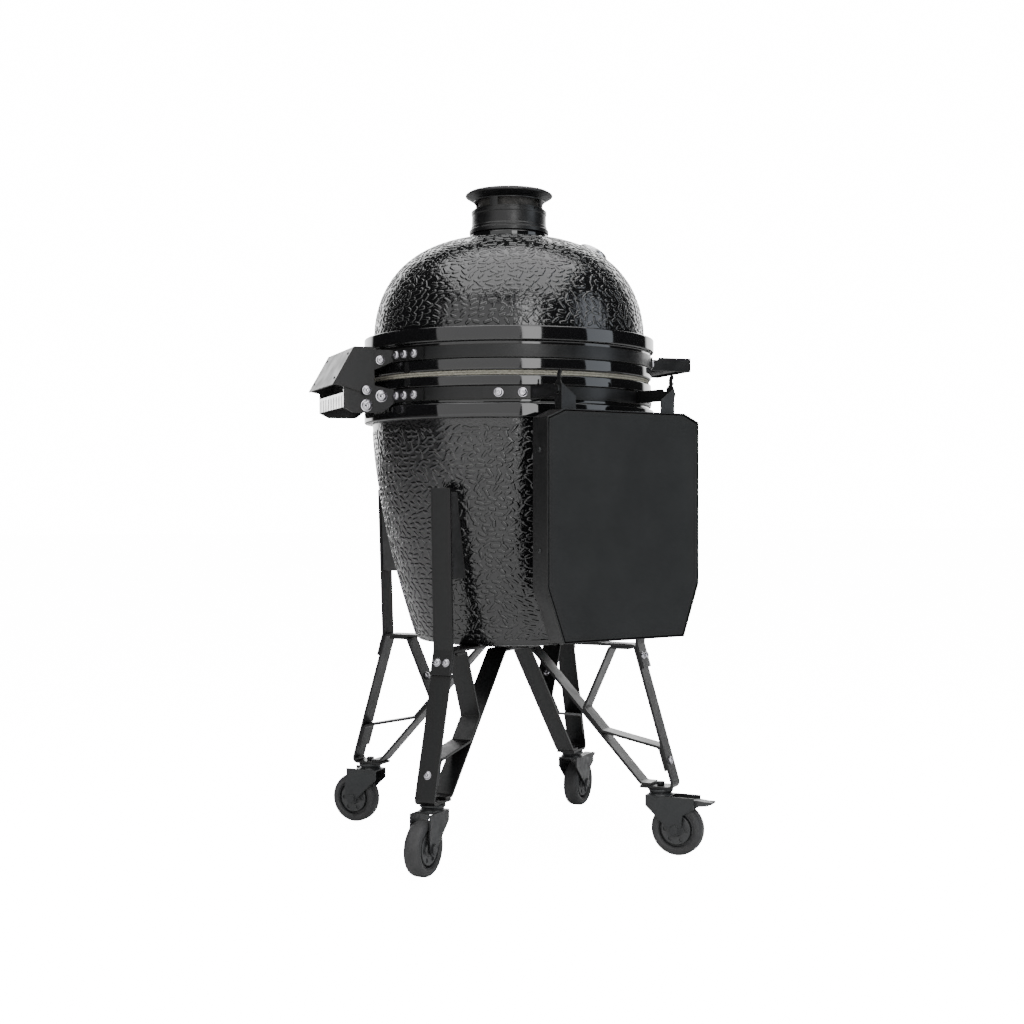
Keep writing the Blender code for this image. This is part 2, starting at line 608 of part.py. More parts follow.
# ---- top vent and thermometer ---------------------------------------------------------
def make_vent():
    foot = NECK_TOP + GAP
    shoulder = foot + VENT_FOOT_HEIGHT
    top = foot + VENT_HEIGHT
    inner = VENT_RADIUS - VENT_WALL
    turned_piece("vent_body", [
        (VENT_RADIUS - 0.0008, top), (VENT_RADIUS, shoulder + 0.006), (VENT_RADIUS + 0.0012, shoulder),
        (VENT_FOOT_RADIUS, shoulder - 0.001), (VENT_FOOT_RADIUS, foot), (FLUE_RADIUS, foot),
        (FLUE_RADIUS, foot + 0.004), (inner, foot + 0.004), (inner, top)], VENT_PAINT, LID)
    tube = inner - VENT_TUBE_CLEAR
    low = foot + 0.004 + GAP
    brim = top + VENT_TUBE_SHOWN
    crown = brim + VENT_CAP_HEIGHT
    cap = turned_piece("vent_cap", [
        (0.0, crown), (VENT_CAP_RADIUS - 0.012, crown - 0.001), (VENT_CAP_RADIUS - 0.001, crown - 0.005),
        (VENT_CAP_RADIUS, crown - 0.008), (VENT_CAP_RADIUS - 0.003, crown - 0.010), (tube + 0.004,
                brim + 0.002),
        (tube, brim), (tube, low), (tube - VENT_TUBE_WALL, low), (tube - VENT_TUBE_WALL, brim + 0.004),
        (0.0, brim + 0.006)], VENT_PAINT, LID)
    cut_windows(cap, top + 0.003, brim - 0.002)


def cut_windows(cap, low, high):
    """Smoke windows through the cap's tube, between the body's rim and the brim."""
    for far, near in ((0.1, VENT_WINDOW / 2), (VENT_WINDOW / 2, 0.1)):
        cut(cap, box_mesh("window", (-far, -near, low), (far, near, high)))


def gauge_seat():
    """Where the thermometer's probe leaves the dome, and the outward normal there."""
    share = dome_share(GAUGE_PLACE)
    (r0, z0), (r1, z1) = dome_point(share - 0.01), dome_point(share + 0.01)
    normal = Vector((0.0, -(z1 - z0), -(r1 - r0))).normalized()
    return Vector((0.0, -GAUGE_PLACE, dome_point(share)[1])), normal


def make_gauge():
    centre, normal = gauge_seat()
    seat = empty("gauge_axis", centre, 0.0, LID)
    seat.rotation_euler = normal.to_track_quat("Z", "X").to_euler()
    back, face = GAUGE_LIFT, GAUGE_LIFT + GAUGE_DEPTH
    turned_piece("thermometer_case", [
        (0.0, face - GAUGE_RECESS), (GAUGE_RADIUS - 0.005, face - GAUGE_RECESS), (GAUGE_RADIUS - 0.005, face),
        (GAUGE_RADIUS - 0.003, face), (GAUGE_RADIUS, face - 0.003), (GAUGE_RADIUS, back + 0.002),
        (GAUGE_RADIUS - 0.002, back), (GAUGE_BOSS_RADIUS, back), (GAUGE_BOSS_RADIUS, 0.0008),
        (PROBE_RADIUS, 0.0008), (PROBE_RADIUS, -PROBE_LENGTH), (0.0, -PROBE_LENGTH - 0.002)],
        STEEL, seat, SMALL_STEPS)
    dial = face - GAUGE_RECESS
    rise = dial + 0.002
    half = NEEDLE_WIDTH / 2
    needle = add_piece("thermometer_needle", plate_mesh("thermometer_needle", [[
        (-half, -0.006), (half, -0.006), (half, 0.004), (0.0006, NEEDLE_LENGTH), (-0.0006, NEEDLE_LENGTH),
        (-half, 0.004)]], rise, rise + NEEDLE_THICKNESS), GAUGE_RED, seat)
    join(needle, rod_mesh("needle_hub", NEEDLE_WIDTH * 0.7, (0, 0, dial + GAP),
                          (0, 0, rise + 1.6 * NEEDLE_THICKNESS), 12))


# ---- lid hinge --------------------------------------------------------------------------
def flange(name, z0, z1, start, end):
    """A strip of sheet that follows a band from one angle to another."""
    inner = BAND_OUTER + GAP + 0.0001
    return plate_mesh(name, [ring_strip(inner, inner + FLANGE_THICKNESS, start, end)], z0, z1)


def degrees_of(half, radius):
    """The angle at which a plane at x = half meets a radius."""
    return asin(half / radius) * 180 / pi


def side_reach(half, radius=COLLAR_RADIUS):
    """Distance from the axis at which a plane at x = half leaves the ceramic."""
    return sqrt(radius ** 2 - half ** 2)


def make_hinge():
    sheet, outer = HINGE_SHEET, HINGE_HALF
    start = side_reach(outer - sheet, COLLAR_RADIUS + GAP)
    band = side_reach(outer - sheet, BAND_OUTER + GAP)
    back, low = HINGE_BACK, HINGE_BOTTOM
    bowl_side = [(band, BASE_BAND_TOP - 0.001), (band, BASE_BAND_BOTTOM + 0.001),
                 (start + 0.001, LOWER_COLLAR_TOP + GAP),
                 (start + 0.018, low + 0.001), (start + 0.028, low), (back - 0.018, low), (back, low + 0.009),
                 (back, HINGE_Z + 0.0065), (HINGE_Y + 0.016, HINGE_Z + 0.0120), (HINGE_Y - 0.016,
                         HINGE_Z + 0.0100)]
    lower = add_piece("hinge_lower_bracket",
                      plate_mesh("hinge_lower_bracket", [bowl_side], outer - sheet, outer, "yz"),
                      POWDER, ROOT)
    join(lower, plate_mesh("far_side", [bowl_side], -outer, sheet - outer, "yz"))
    join(lower, box_mesh("back_plate", (-outer + 0.001, back - sheet, low + 0.010),
                         (outer - 0.001, back, HINGE_Z - 0.004)))
    first = degrees_of(outer - sheet, BAND_OUTER)
    for side in (-1, 1):
        a, b = sorted((90 - side * (first + 0.2), 90 - side * BRACKET_ARC_END))
        join(lower, flange("lower_flange", BASE_BAND_BOTTOM + 0.001, BASE_BAND_TOP - 0.001, a, b))
    reach = outer + 2 * (sheet + HINGE_PLAY) + HINGE_PLAY
    join(lower, rod_mesh("hinge_rod", HINGE_ROD_RADIUS, (-reach, HINGE_Y, HINGE_Z), (reach, HINGE_Y, HINGE_Z),
                         16))
    for side in (-1, 1):
        join(lower, rod_mesh("rod_head", COVER_BOLT_RADIUS, (side * (reach - 0.0005), HINGE_Y, HINGE_Z),
                             (side * (reach + 0.004), HINGE_Y, HINGE_Z), 16))
    pitch = (2 * outer - 0.030) / (HINGE_SLOTS - 1)
    for i in range(HINGE_SLOTS):
        x = -outer + 0.015 + i * pitch
        cut(lower, box_mesh("back_slot", (x - SLOT_WIDTH / 2, back - 0.01, low),
                            (x + SLOT_WIDTH / 2, back + 0.01, low + 0.010 + SLOT_DEPTH)))

    inner = outer - sheet - HINGE_PLAY
    lid_band = side_reach(inner - sheet, BAND_OUTER + GAP)
    high = LID_BAND_TOP - 0.0025
    lid_side = [(lid_band, high), (lid_band, LID_BAND_BOTTOM + 0.001), (HINGE_Y - 0.018, LID_RIM + 0.006),
                (HINGE_Y - 0.016, HINGE_Z - 0.004), (HINGE_Y - 0.008, HINGE_Z - 0.011), (HINGE_Y + 0.008,
                        HINGE_Z - 0.011),
                (HINGE_Y + 0.016, HINGE_Z - 0.002), (HINGE_Y + 0.012, HINGE_Z + 0.055), (HINGE_Y - 0.005,
                        high)]
    upper = add_piece("hinge_upper_bracket",
                      plate_mesh("hinge_upper_bracket", [lid_side], inner - sheet, inner, "yz"), POWDER, LID)
    join(upper, plate_mesh("far_lid_side", [lid_side], -inner, sheet - inner, "yz"))
    web = COLLAR_RADIUS + 0.004
    join(upper, box_mesh("hinge_web", (-inner + 0.001, web, high - 0.006),
                         (inner - 0.001, HINGE_Y - 0.008, high - 0.003)))
    first = degrees_of(inner - sheet, BAND_OUTER)
    for side in (-1, 1):
        a, b = sorted((90 - side * (first + 0.2), 90 - side * BRACKET_ARC_END))
        join(upper, flange("upper_flange", LID_BAND_BOTTOM + 0.001, LID_BAND_TOP - 0.001, a, b))
    cut(upper, rod_mesh("upper_hole", HINGE_ROD_RADIUS + RUN, (-outer, HINGE_Y, HINGE_Z),
                        (outer, HINGE_Y, HINGE_Z), 16))

    cover_in = outer + HINGE_PLAY
    cover_out = cover_in + sheet
    top = LID_BAND_TOP + 0.0018
    cover_side = [(HINGE_Y - 0.015, top - 0.001), (HINGE_Y - 0.018, HINGE_Z - 0.003),
                  (HINGE_Y + 0.009, HINGE_Z - 0.003),
                  (HINGE_Y + 0.041, HINGE_Z + 0.0064), (COVER_LOW_Y - 0.0014, COVER_LOW_Z + 0.0004),
                  (COVER_TOP_Y - 0.0014, top - 0.001)]
    cover = add_piece("hinge_cover", plate_mesh("hinge_cover", [cover_side], cover_in, cover_out, "yz"),
                      POWDER, LID)
    join(cover, plate_mesh("far_cover", [cover_side], -cover_out, -cover_in, "yz"))
    skin = strip([(HINGE_Y - 0.016, top), (COVER_TOP_Y, top), (COVER_LOW_Y, COVER_LOW_Z)], 0.0025, 0.0035)
    join(cover, plate_mesh("cover_skin", [skin], -cover_out + 0.001, cover_out - 0.001, "yz"))
    cut(cover, rod_mesh("cover_hole", HINGE_ROD_RADIUS + RUN, (-0.15, HINGE_Y, HINGE_Z),
                        (0.15, HINGE_Y, HINGE_Z), 16))


# ---- handle -------------------------------------------------------------------------------
def make_handle():
    half, sheet = HANDLE_HALF, HANDLE_SHEET
    band = side_reach(half - sheet, BAND_OUTER + GAP)
    low, high = HANDLE_BOTTOM, HANDLE_TOP
    side = [(-band, LID_BAND_TOP - 0.001), (-COLLAR_RADIUS - 0.003, LID_BAND_TOP - 0.001),
            (-COLLAR_RADIUS - 0.006, high), (-HANDLE_REACH, high), (-HANDLE_REACH, low), (-band, low + 0.001)]
    bracket = add_piece("handle_bracket", plate_mesh("handle_bracket", [side], half - sheet, half, "yz"),
                        POWDER, LID)
    join(bracket, plate_mesh("far_arm", [side], -half, sheet - half, "yz"))
    join(bracket, box_mesh("front_plate", (-half + 0.001, -HANDLE_REACH, low),
                           (half - 0.001, sheet - HANDLE_REACH, high)))
    first = degrees_of(half - sheet, BAND_OUTER)
    for turn in (-1, 1):
        a, b = sorted((-90 + turn * (first + 0.2), -90 + turn * HANDLE_ARC_END))
        join(bracket, flange("handle_flange", LID_BAND_BOTTOM + 0.002, LID_BAND_TOP - 0.001, a, b))
    y = -HANDLE_REACH + HANDLE_BAR_BACK
    z = (low + high) / 2
    end = half - sheet - GAP
    bar = add_piece("handle_bar", rod_mesh("handle_bar", HANDLE_BAR_RADIUS, (-end, y, z), (end, y, z), 20),
                    GRIP, LID)
    bar.data.shade_smooth()


# ---- side shelf ---------------------------------------------------------------------------
def shelf_outline(half, top, low, inset):
    """The shelf's outline in (along, z), with its four corners cut off."""
    half, top, low = half - inset, top - inset, low + inset
    (a, b), (c, d) = TOP_CHAMFER, LOW_CHAMFER
    right = [(half - c, low), (half, low + d), (half, top - b), (half - a, top)]
    return right + [(-u, v) for u, v in reversed(right)]


def shelf_plate(name, outline, inner, outer):
    """A plate across the shelf's outward direction, drawn in (along, z)."""
    mesh = plate_mesh(name, [[(v, u) for u, v in outline]], inner, outer)
    mesh.transform(Matrix(((0, 0, 1, 0), (0, 1, 0, 0), (1, 0, 0, 0), (0, 0, 0, 1))))
    mesh.flip_normals()
    return mesh


def make_shelf():
    half, top, low = SHELF_HALF_WIDTH, SHELF_TOP, SHELF_BOTTOM
    back = SHELF_FACE - SHELF_DEPTH
    web = SHELF_FACE - PANEL_THICKNESS - GAP
    tray = add_piece("shelf_tray",
                     shelf_plate("shelf_tray", shelf_outline(half, top, low, 0.0), back, SHELF_FACE),
                     TRAY, SHELF)
    hollow = shelf_outline(half, top, low, SHELF_SHEET)
    cut(tray, shelf_plate("face_pocket", hollow, web, SHELF_FACE + 0.01),
        shelf_plate("back_pocket", hollow, back - 0.01, web - SHELF_SHEET))
    for side in (-1, 1):
        a, b = sorted((side * (ARM_HALF + 0.001), side * (ARM_HALF - ARM_FLANGE - 0.001)))
        cut(tray, box_mesh("arm_notch", (back - 0.01, a, top - 0.01), (ARM_FRONT + GAP, b, top + 0.01)))
    inset = SHELF_SHEET + PANEL_GAP
    add_piece("shelf_panel", shelf_plate("shelf_panel", shelf_outline(half, top, low, inset), web + GAP,
                                         SHELF_FACE),
              PANEL, SHELF)
    front, sheet = ARM_FRONT, ARM_SHEET
    cheek = [(back + 0.006, ARM_LOW), (front, ARM_LOW), (front, PIVOT_Z + 0.009),
             (PIVOT_OUT + 0.006, PIVOT_Z + 0.0165),
             (PIVOT_OUT + 0.0095, PIVOT_Z + 0.020), (PIVOT_OUT + 0.005, PIVOT_Z + 0.024),
             (PIVOT_OUT + 0.009, PIVOT_Z + 0.031), (PIVOT_OUT + 0.0065, PIVOT_Z + 0.036),
             (PIVOT_OUT + 0.001, PIVOT_Z + 0.035), (PIVOT_OUT - 0.003, PIVOT_Z + 0.028),
             (PIVOT_OUT - 0.003, PIVOT_Z + 0.018), (PIVOT_OUT - 0.010, PIVOT_Z + 0.012), (back + 0.006,
                     PIVOT_Z + 0.004)]
    for side, name in ((-1, "shelf_arm_rear"), (1, "shelf_arm_front")):
        near, far = sorted((side * ARM_HALF, side * (ARM_HALF - sheet)))
        arm = add_piece(name, plate_mesh(name, [cheek], near, far, "xz"), POWDER, SHELF)
        tab = [(side * ARM_HALF, ARM_LOW), (side * (ARM_HALF - ARM_FLANGE), ARM_LOW),
               (side * (ARM_HALF - ARM_FLANGE), PIVOT_Z - 0.011), (side * (ARM_HALF - 0.004),
                                                                   PIVOT_Z + 0.009),
               (side * ARM_HALF, PIVOT_Z + 0.009)]
        join(arm, shelf_plate("arm_tab", tab, front - sheet, front))
        hole = sorted((side * (ARM_HALF + 0.01), side * (ARM_HALF - 0.01)))
        cut(arm, rod_mesh("arm_hole", PIVOT_RADIUS + RUN, (PIVOT_OUT, hole[0], PIVOT_Z),
                          (PIVOT_OUT, hole[1], PIVOT_Z), 16))


def make_shelf_brackets():
    inner = ARM_HALF - ARM_SHEET - HINGE_PLAY
    start = side_reach(inner - ARM_SHEET, BAND_OUTER + GAP)
    low, high = BASE_BAND_BOTTOM + 0.001, BASE_BAND_TOP - 0.001
    nose = arc((PIVOT_OUT, PIVOT_Z), ARM_FRONT - ARM_SHEET - PIVOT_OUT - HINGE_PLAY, -60, 90, 4)
    plate = [(start, low), (PIVOT_OUT - 0.008, low), *nose, (PIVOT_OUT - 0.013, PIVOT_Z + 0.0065),
             (PIVOT_OUT - 0.019, high),
             (start, high)]
    first = degrees_of(inner - ARM_SHEET, BAND_OUTER)
    for side, name in ((-1, "shelf_bracket_rear"), (1, "shelf_bracket_front")):
        near, far = sorted((side * inner, side * (inner - ARM_SHEET)))
        made = add_piece(name, plate_mesh(name, [plate], near, far, "xz"), POWDER, SHELF_SEAT)
        a, b = sorted((side * (first + 0.2), side * (first + BRACKET_ARC)))
        join(made, flange("shelf_flange", low, high, a, b))
        end = ARM_HALF + HINGE_PLAY
        join(made, rod_mesh("shelf_pin", PIVOT_RADIUS, (PIVOT_OUT, side * (inner - 0.001), PIVOT_Z),
                            (PIVOT_OUT, side * (end + 0.001), PIVOT_Z), 16))
        join(made, rod_mesh("pin_head", PIVOT_HEAD_RADIUS, (PIVOT_OUT, side * end, PIVOT_Z),
                            (PIVOT_OUT, side * (end + PIVOT_HEAD), PIVOT_Z), 16))


# ---- stand ----------------------------------------------------------------------------------
def bar_piece(name, outline, look, parent, width=BAR_WIDTH):
    """Flat bar of a leg, drawn in (outward, z) and centred on the leg's plane."""
    return add_piece(name, plate_mesh(name, [outline], -width / 2, width / 2, "xz"), look, parent)


def splay(z):
    """How far out the leg bar's outer face is at a height below the knee."""
    share = (KNEE_Z - z) / (KNEE_Z - FOOT_Z)
    return KNEE_REACH + (FOOT_REACH - KNEE_REACH) * share


def post_inner(z):
    """The inner face of a post above the knee."""
    return KNEE_REACH + GAP + POST_TOP_LEAN * (z - KNEE_Z) / (POST_TOP - KNEE_Z)


def make_leg(index, name):
    leg = empty(f"leg_{name}", (0, 0, 0), radians(LEG_TURN + 90.0 * index), ROOT)
    tilt = atan2(FOOT_REACH - KNEE_REACH, KNEE_Z - FOOT_Z)
    outer = [(BAR_INNER_END, KNEE_Z), (KNEE_REACH, KNEE_Z), (FOOT_REACH, FOOT_Z),
             (FOOT_REACH - FOOT_LENGTH, FOOT_Z)]
    bar_piece(f"leg_bar_{name}", strip(outer, BAR), POWDER, leg)

    foot = KNEE_Z - POST_FOOT_DROP
    shift = (BAR + GAP) / cos(tilt)
    post = [(splay(foot) + GAP / cos(tilt) + BAR / cos(tilt), foot), (KNEE_REACH + shift, KNEE_Z + 0.0004),
            (KNEE_REACH + BAR + GAP + POST_TOP_LEAN, POST_TOP)]
    bar_piece(f"post_{name}", strip(post[::-1], BAR, 0.004), POWDER, leg)

    below = KNEE_Z - BAR - GAP
    inset = (2 * BAR + GAP) / cos(tilt)
    land = [on_inner_bar(r, index) for r in BRACE_LAND]
    brace = [(splay(BRACE_FOOT_Z) - inset, BRACE_FOOT_Z), (splay(BRACE_BEND_Z) - inset, BRACE_BEND_Z),
             *land, (BRACE_TOP[0], below), (BRACE_TOP[1], below)]
    bar_piece(f"brace_{name}", strip(brace, BAR, 0.0065), POWDER, leg)

    top, low = PAD_TOP, PAD_BOTTOM
    wedge = [(bowl_radius(low) - 0.02, low), (post_inner(low) - GAP, low), (post_inner(top) - GAP, top),
             (bowl_radius(top) - 0.02, top)]
    pad = bar_piece(f"bowl_pad_{name}", wedge, PAD, leg, PAD_WIDTH)
    cut(pad, pad_cutter())
    make_caster(leg, name)


def pad_cutter():
    """The bowl's outside, a gap larger, where a pad lies against it."""
    levels = [PAD_TOP + 0.02 - (PAD_TOP - PAD_BOTTOM + 0.04) * i / 5 for i in range(6)]
    profile = [(0.0, levels[0])] + [(bowl_radius(z) + 0.0008, z) for z in levels] + [(0.0, levels[-1])]
    shape = turned_piece("bowl_outside", profile, None, None, ROUND_STEPS * 2, target=CUTTERS)
    mesh = baked(shape)
    bpy.data.objects.remove(shape)
    return mesh


def inner_slope(index):
    """Upper face of a sloping inner bar, from its bend under the hub to its foot; the second bar lies lower."""
    drop = index % 2 * (BAR + GAP)
    return (SPLAY_INNER, KNEE_Z - 2 * (BAR + GAP) - GAP - drop), (INNER_FOOT - drop, FOOT_Z + 2 * BAR + GAP)


def on_inner_bar(r, index):
    """A point a gap above a sloping inner bar, at a distance from the axis."""
    (r0, z0), (r1, z1) = inner_slope(index)
    return r, z0 + (z1 - z0) * (r - r0) / (r1 - r0) + 2 * GAP


def make_stand():
    for index, name in enumerate(LEGS):
        make_leg(index, name)
    hub = add_piece("hub_plate", box_mesh("hub_plate", (-HUB_HALF, -HUB_HALF, KNEE_Z - 2 * BAR - GAP),
                                          (HUB_HALF, HUB_HALF, KNEE_Z - BAR - GAP)), POWDER, ROOT)
    hub.rotation_euler = (0, 0, radians(LEG_TURN))
    for index, name in enumerate(("inner_bars_a", "inner_bars_b")):
        frame = empty(f"{name}_plane", (0, 0, 0), radians(LEG_TURN + 90.0 * index), ROOT)
        start, foot = inner_slope(index)
        half = [start, foot, (INNER_FOOT + INNER_TAB, foot[1])]
        path = [(-r, z) for r, z in reversed(half)] + half
        bar_piece(name, strip(path, BAR, 0.006), POWDER, frame)


# ---- casters ------------------------------------------------------------------------------------
def make_caster(leg, name):
    swivel = empty(f"swivel_{name}", (CASTER_CIRCLE, 0, 0), 0.0, leg)
    under = FOOT_Z - GAP
    nut_top = FORK_TOP - FORK_SHEET - GAP
    turned_piece(f"caster_stem_{name}", [
        (0.0, under), (RACE_RADIUS, under), (RACE_RADIUS, under - 0.003), (RACE_RADIUS - 0.004,
                under - 0.0075),
        (RACE_RADIUS, FORK_TOP + 0.004), (RACE_RADIUS - 0.003, FORK_TOP + GAP), (STEM_RADIUS, FORK_TOP + GAP),
        (STEM_RADIUS, nut_top), (STEM_NUT_RADIUS, nut_top), (STEM_NUT_RADIUS, nut_top - STEM_NUT), (0.0,
                nut_top - STEM_NUT)],
        ZINC_BLACK, swivel, PIN_STEPS)

    inside = WHEEL_WIDTH / 2 + FORK_CLEAR
    outside = inside + FORK_SHEET
    axle_z = WHEEL_RADIUS
    braked = name.startswith("front")
    nose = 0.072 if braked else 0.046
    cheek = [(-0.024, FORK_TOP), (nose, FORK_TOP), (nose, FORK_TOP - 0.021), (0.050, FORK_TOP - 0.034)]
    cheek += arc((TRAIL, axle_z), 0.0125, 0, -180, 6) + [(-0.024, FORK_TOP - 0.020)]
    fork = add_piece(f"caster_fork_{name}", plate_mesh("fork", [cheek], inside, outside, "xz"), ZINC_BLACK,
                     swivel)
    join(fork, plate_mesh("fork_far", [cheek], -outside, -inside, "xz"))
    join(fork, box_mesh("fork_crown", (-0.024, -outside + 0.001, FORK_TOP - FORK_SHEET),
                        (0.024, outside - 0.001, FORK_TOP)))
    cut(fork, rod_mesh("stem_hole", STEM_RADIUS + RUN, (0, 0, FORK_TOP - 0.02), (0, 0, FORK_TOP + 0.02),
                       PIN_STEPS))
    join(fork, rod_mesh("axle", AXLE_RADIUS, (TRAIL, -outside, axle_z), (TRAIL, outside, axle_z), PIN_STEPS))
    for side in (-1, 1):
        join(fork, rod_mesh("axle_head", AXLE_HEAD_RADIUS, (TRAIL, side * (outside - 0.0005), axle_z),
                            (TRAIL, side * (outside + AXLE_HEAD), axle_z), 6))
    if braked:
        px, pz = PEDAL_PIN
        join(fork, rod_mesh("pedal_pin", PEDAL_PIN_RADIUS, (px, -outside + 0.001, pz),
                            (px, outside - 0.001, pz), 12))
        make_pedal(swivel, name)

    hub = empty(f"axle_{name}", (TRAIL, 0, axle_z), 0.0, swivel)
    hub.rotation_euler = (pi / 2, 0, 0)
    half, edge = WHEEL_WIDTH / 2, WHEEL_EDGE
    bore = AXLE_RADIUS + RUN
    dish = 0.006
    turned_piece(f"caster_wheel_{name}", [
        (WHEEL_RADIUS - edge, half), (WHEEL_RADIUS, half - edge), (WHEEL_RADIUS, edge - half),
        (WHEEL_RADIUS - edge, -half), (WHEEL_RADIUS - edge - 0.004, dish - half), (bore + 0.010, dish - half),
        (bore + 0.008, -half), (bore, -half), (bore, half), (bore + 0.008, half), (bore + 0.010, half - dish),
        (WHEEL_RADIUS - edge - 0.004, half - dish)],
        TYRE, hub, SMALL_STEPS)


def make_pedal(swivel, name):
    px, pz = PEDAL_PIN
    reach = PEDAL_REACH - px
    lever = [(-0.0055, 0.006), (-0.0055, -0.003), (-0.001, -0.0055), (0.006, -0.004), (reach - 0.010, -0.001),
             (reach, 0.003), (reach, 0.007), (reach - 0.012, 0.007), (0.010, 0.0085), (0, 0.0075)]
    pedal = add_piece(f"brake_pedal_{name}",
                      plate_mesh("pedal", [lever], -PEDAL_WIDTH / 2, PEDAL_WIDTH / 2, "xz"),
                      PEDAL, swivel, (px, 0, pz))
    cut(pedal, rod_mesh("pedal_bore", PEDAL_PIN_RADIUS + RUN, (0, -0.03, 0), (0, 0.03, 0), PIN_STEPS))


# ---- assembly ---------------------------------------------------------------------------------------
clear_scene()
PARTS = collection("kamado_grill")
CUTTERS = collection("cutters")
GLAZE = material("black_glazed_ceramic", (0.012, 0.012, 0.013), 0.12)
POWDER = material("black_powder_coat", (0.022, 0.022, 0.023), 0.50)
FELT = material("gasket_felt", (0.17, 0.16, 0.13), 0.95)
CHAMOTTE = material("fire_clay", (0.55, 0.47, 0.36), 0.90)
STEEL = material("stainless_steel", (0.55, 0.55, 0.56), 0.30, 1.0)
IRON = material("cast_iron", (0.05, 0.05, 0.05), 0.70)
VENT_PAINT = material("vent_paint", (0.016, 0.016, 0.017), 0.40)
GAUGE_RED = material("needle_red", (0.60, 0.03, 0.02), 0.40)
GRIP = material("grip_black", (0.020, 0.020, 0.020), 0.45)
TRAY = material("tray_powder_coat", (0.030, 0.030, 0.031), 0.45)
PANEL = material("charcoal_panel", (0.020, 0.021, 0.021), 0.75)
PAD = material("pad_rubber", (0.010, 0.010, 0.010), 0.80)
ZINC_BLACK = material("black_zinc", (0.028, 0.029, 0.029), 0.45, 0.3)
PEDAL = material("pedal_plastic", (0.016, 0.016, 0.017), 0.55)
TYRE = material("caster_rubber", (0.026, 0.027, 0.028), 0.70)

ROOT = empty("grill_root", ((REACH_LEFT - REACH_RIGHT) / 2, (HANDLE_REACH - COVER_LOW_Y) / 2, 0))
LID = hung_on("lid", (0, HINGE_Y, HINGE_Z), ROOT)
SHELF_SEAT = empty("shelf_seat", (0, 0, 0), SHELF_ANGLE, ROOT)
SHELF = hung_on("shelf", (PIVOT_OUT, 0, PIVOT_Z), SHELF_SEAT)

make_ceramic()
make_fire_box()
make_draft()
make_vent()
make_gauge()
make_hinge()
make_handle()
make_shelf()
make_shelf_brackets()
make_stand()
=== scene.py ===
"""Finished pieces and looks of a kamado ceramic grill, laid out as a Blender add-on and run as a script.

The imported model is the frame: every piece here takes its place from it and moves with one of its bodies.
"""
import json
from math import acos, atan2, cos, hypot, pi, radians, sin

import bpy
import numpy as np
from bpy.props import FloatProperty, FloatVectorProperty, IntProperty, PointerProperty
from mathutils import Matrix, Vector
from mathutils.bvhtree import BVHTree


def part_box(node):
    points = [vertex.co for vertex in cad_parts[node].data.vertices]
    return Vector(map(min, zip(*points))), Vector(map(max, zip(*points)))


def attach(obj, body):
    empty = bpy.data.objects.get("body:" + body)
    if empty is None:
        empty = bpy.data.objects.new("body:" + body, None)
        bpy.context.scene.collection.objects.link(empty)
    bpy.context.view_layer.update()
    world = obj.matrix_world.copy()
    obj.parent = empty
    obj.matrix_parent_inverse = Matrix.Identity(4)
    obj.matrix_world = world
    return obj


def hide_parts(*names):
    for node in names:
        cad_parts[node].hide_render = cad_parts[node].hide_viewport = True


bl_info = {
    "name": "Kamado Grill",
    "version": (1, 0, 0),
    "blender": (4, 5, 0),
    "location": "View3D > Sidebar > Grill",
    "description": "Builds the visible pieces of a kamado grill on its packed frame",
    "category": "Object",
}

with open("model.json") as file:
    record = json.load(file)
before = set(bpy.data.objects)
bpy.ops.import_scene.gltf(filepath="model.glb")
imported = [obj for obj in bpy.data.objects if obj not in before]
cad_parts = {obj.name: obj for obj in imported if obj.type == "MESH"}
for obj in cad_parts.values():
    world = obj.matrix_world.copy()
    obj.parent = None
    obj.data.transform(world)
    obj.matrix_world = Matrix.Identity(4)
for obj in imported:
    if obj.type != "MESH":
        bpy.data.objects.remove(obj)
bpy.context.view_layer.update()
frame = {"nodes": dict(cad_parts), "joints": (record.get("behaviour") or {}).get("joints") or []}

LEGS = ("rear_right", "rear_left", "front_left", "front_right")


# ---- places read from the frame ---------------------------------------------------
def span(node):
    """Lowest corner, highest corner and middle of a CAD node."""
    low, high = (Vector(v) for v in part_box(node))
    return low, high, (low + high) / 2


BASE_BAND, LID_BAND = span("base_band"), span("lid_band")
AXIS = Vector((BASE_BAND[2].x, BASE_BAND[2].y, 0.0))
BAND_RADIUS = (BASE_BAND[1].x - BASE_BAND[0].x) / 2
COLLAR_RADIUS = (span("ceramic_base")[1].x - span("ceramic_base")[0].x) / 2
RIM_RADIUS = COLLAR_RADIUS - 0.005
SEAT_RADIUS = COLLAR_RADIUS - 0.008
WALL = 0.028                         # thickness of the ceramic
INNER_RADIUS = SEAT_RADIUS - WALL
BOWL_BOTTOM, BOWL_RIM = span("ceramic_base")[0].z, span("ceramic_base")[1].z
LID_RIM, NECK_TOP = span("ceramic_lid")[0].z, span("ceramic_lid")[1].z
LOWER_COLLAR = (BASE_BAND[0].z - 0.0325, BASE_BAND[0].z - 0.006)
UPPER_COLLAR = (LID_BAND[1].z + 0.0063, LID_BAND[1].z + 0.0328)
DOME_BASE = UPPER_COLLAR[1] - 0.007
NECK_RADIUS = 0.077
FLUE_RADIUS = 0.056
BOWL_TOP_RADIUS = 0.2695
BOWL_TAPER = 0.0875
BOWL_SWEEP = 1.6
DOME_RADIUS = 0.2665
DOME_HEIGHT = 0.210
DOME_SIDE_POWER = 0.74
DOME_TOP_POWER = 0.89
HINGE_Y = span("hinge_cover")[1].y - AXIS.y - 0.062
HINGE_Z = LID_BAND[1].z - 0.0793
FLANGE = 0.0030                      # outer face of a bracket's flange above its band
SHELF_SIDE = 180.0 + 14.3            # degrees round the axis
SHELF_TURN = radians(SHELF_SIDE)


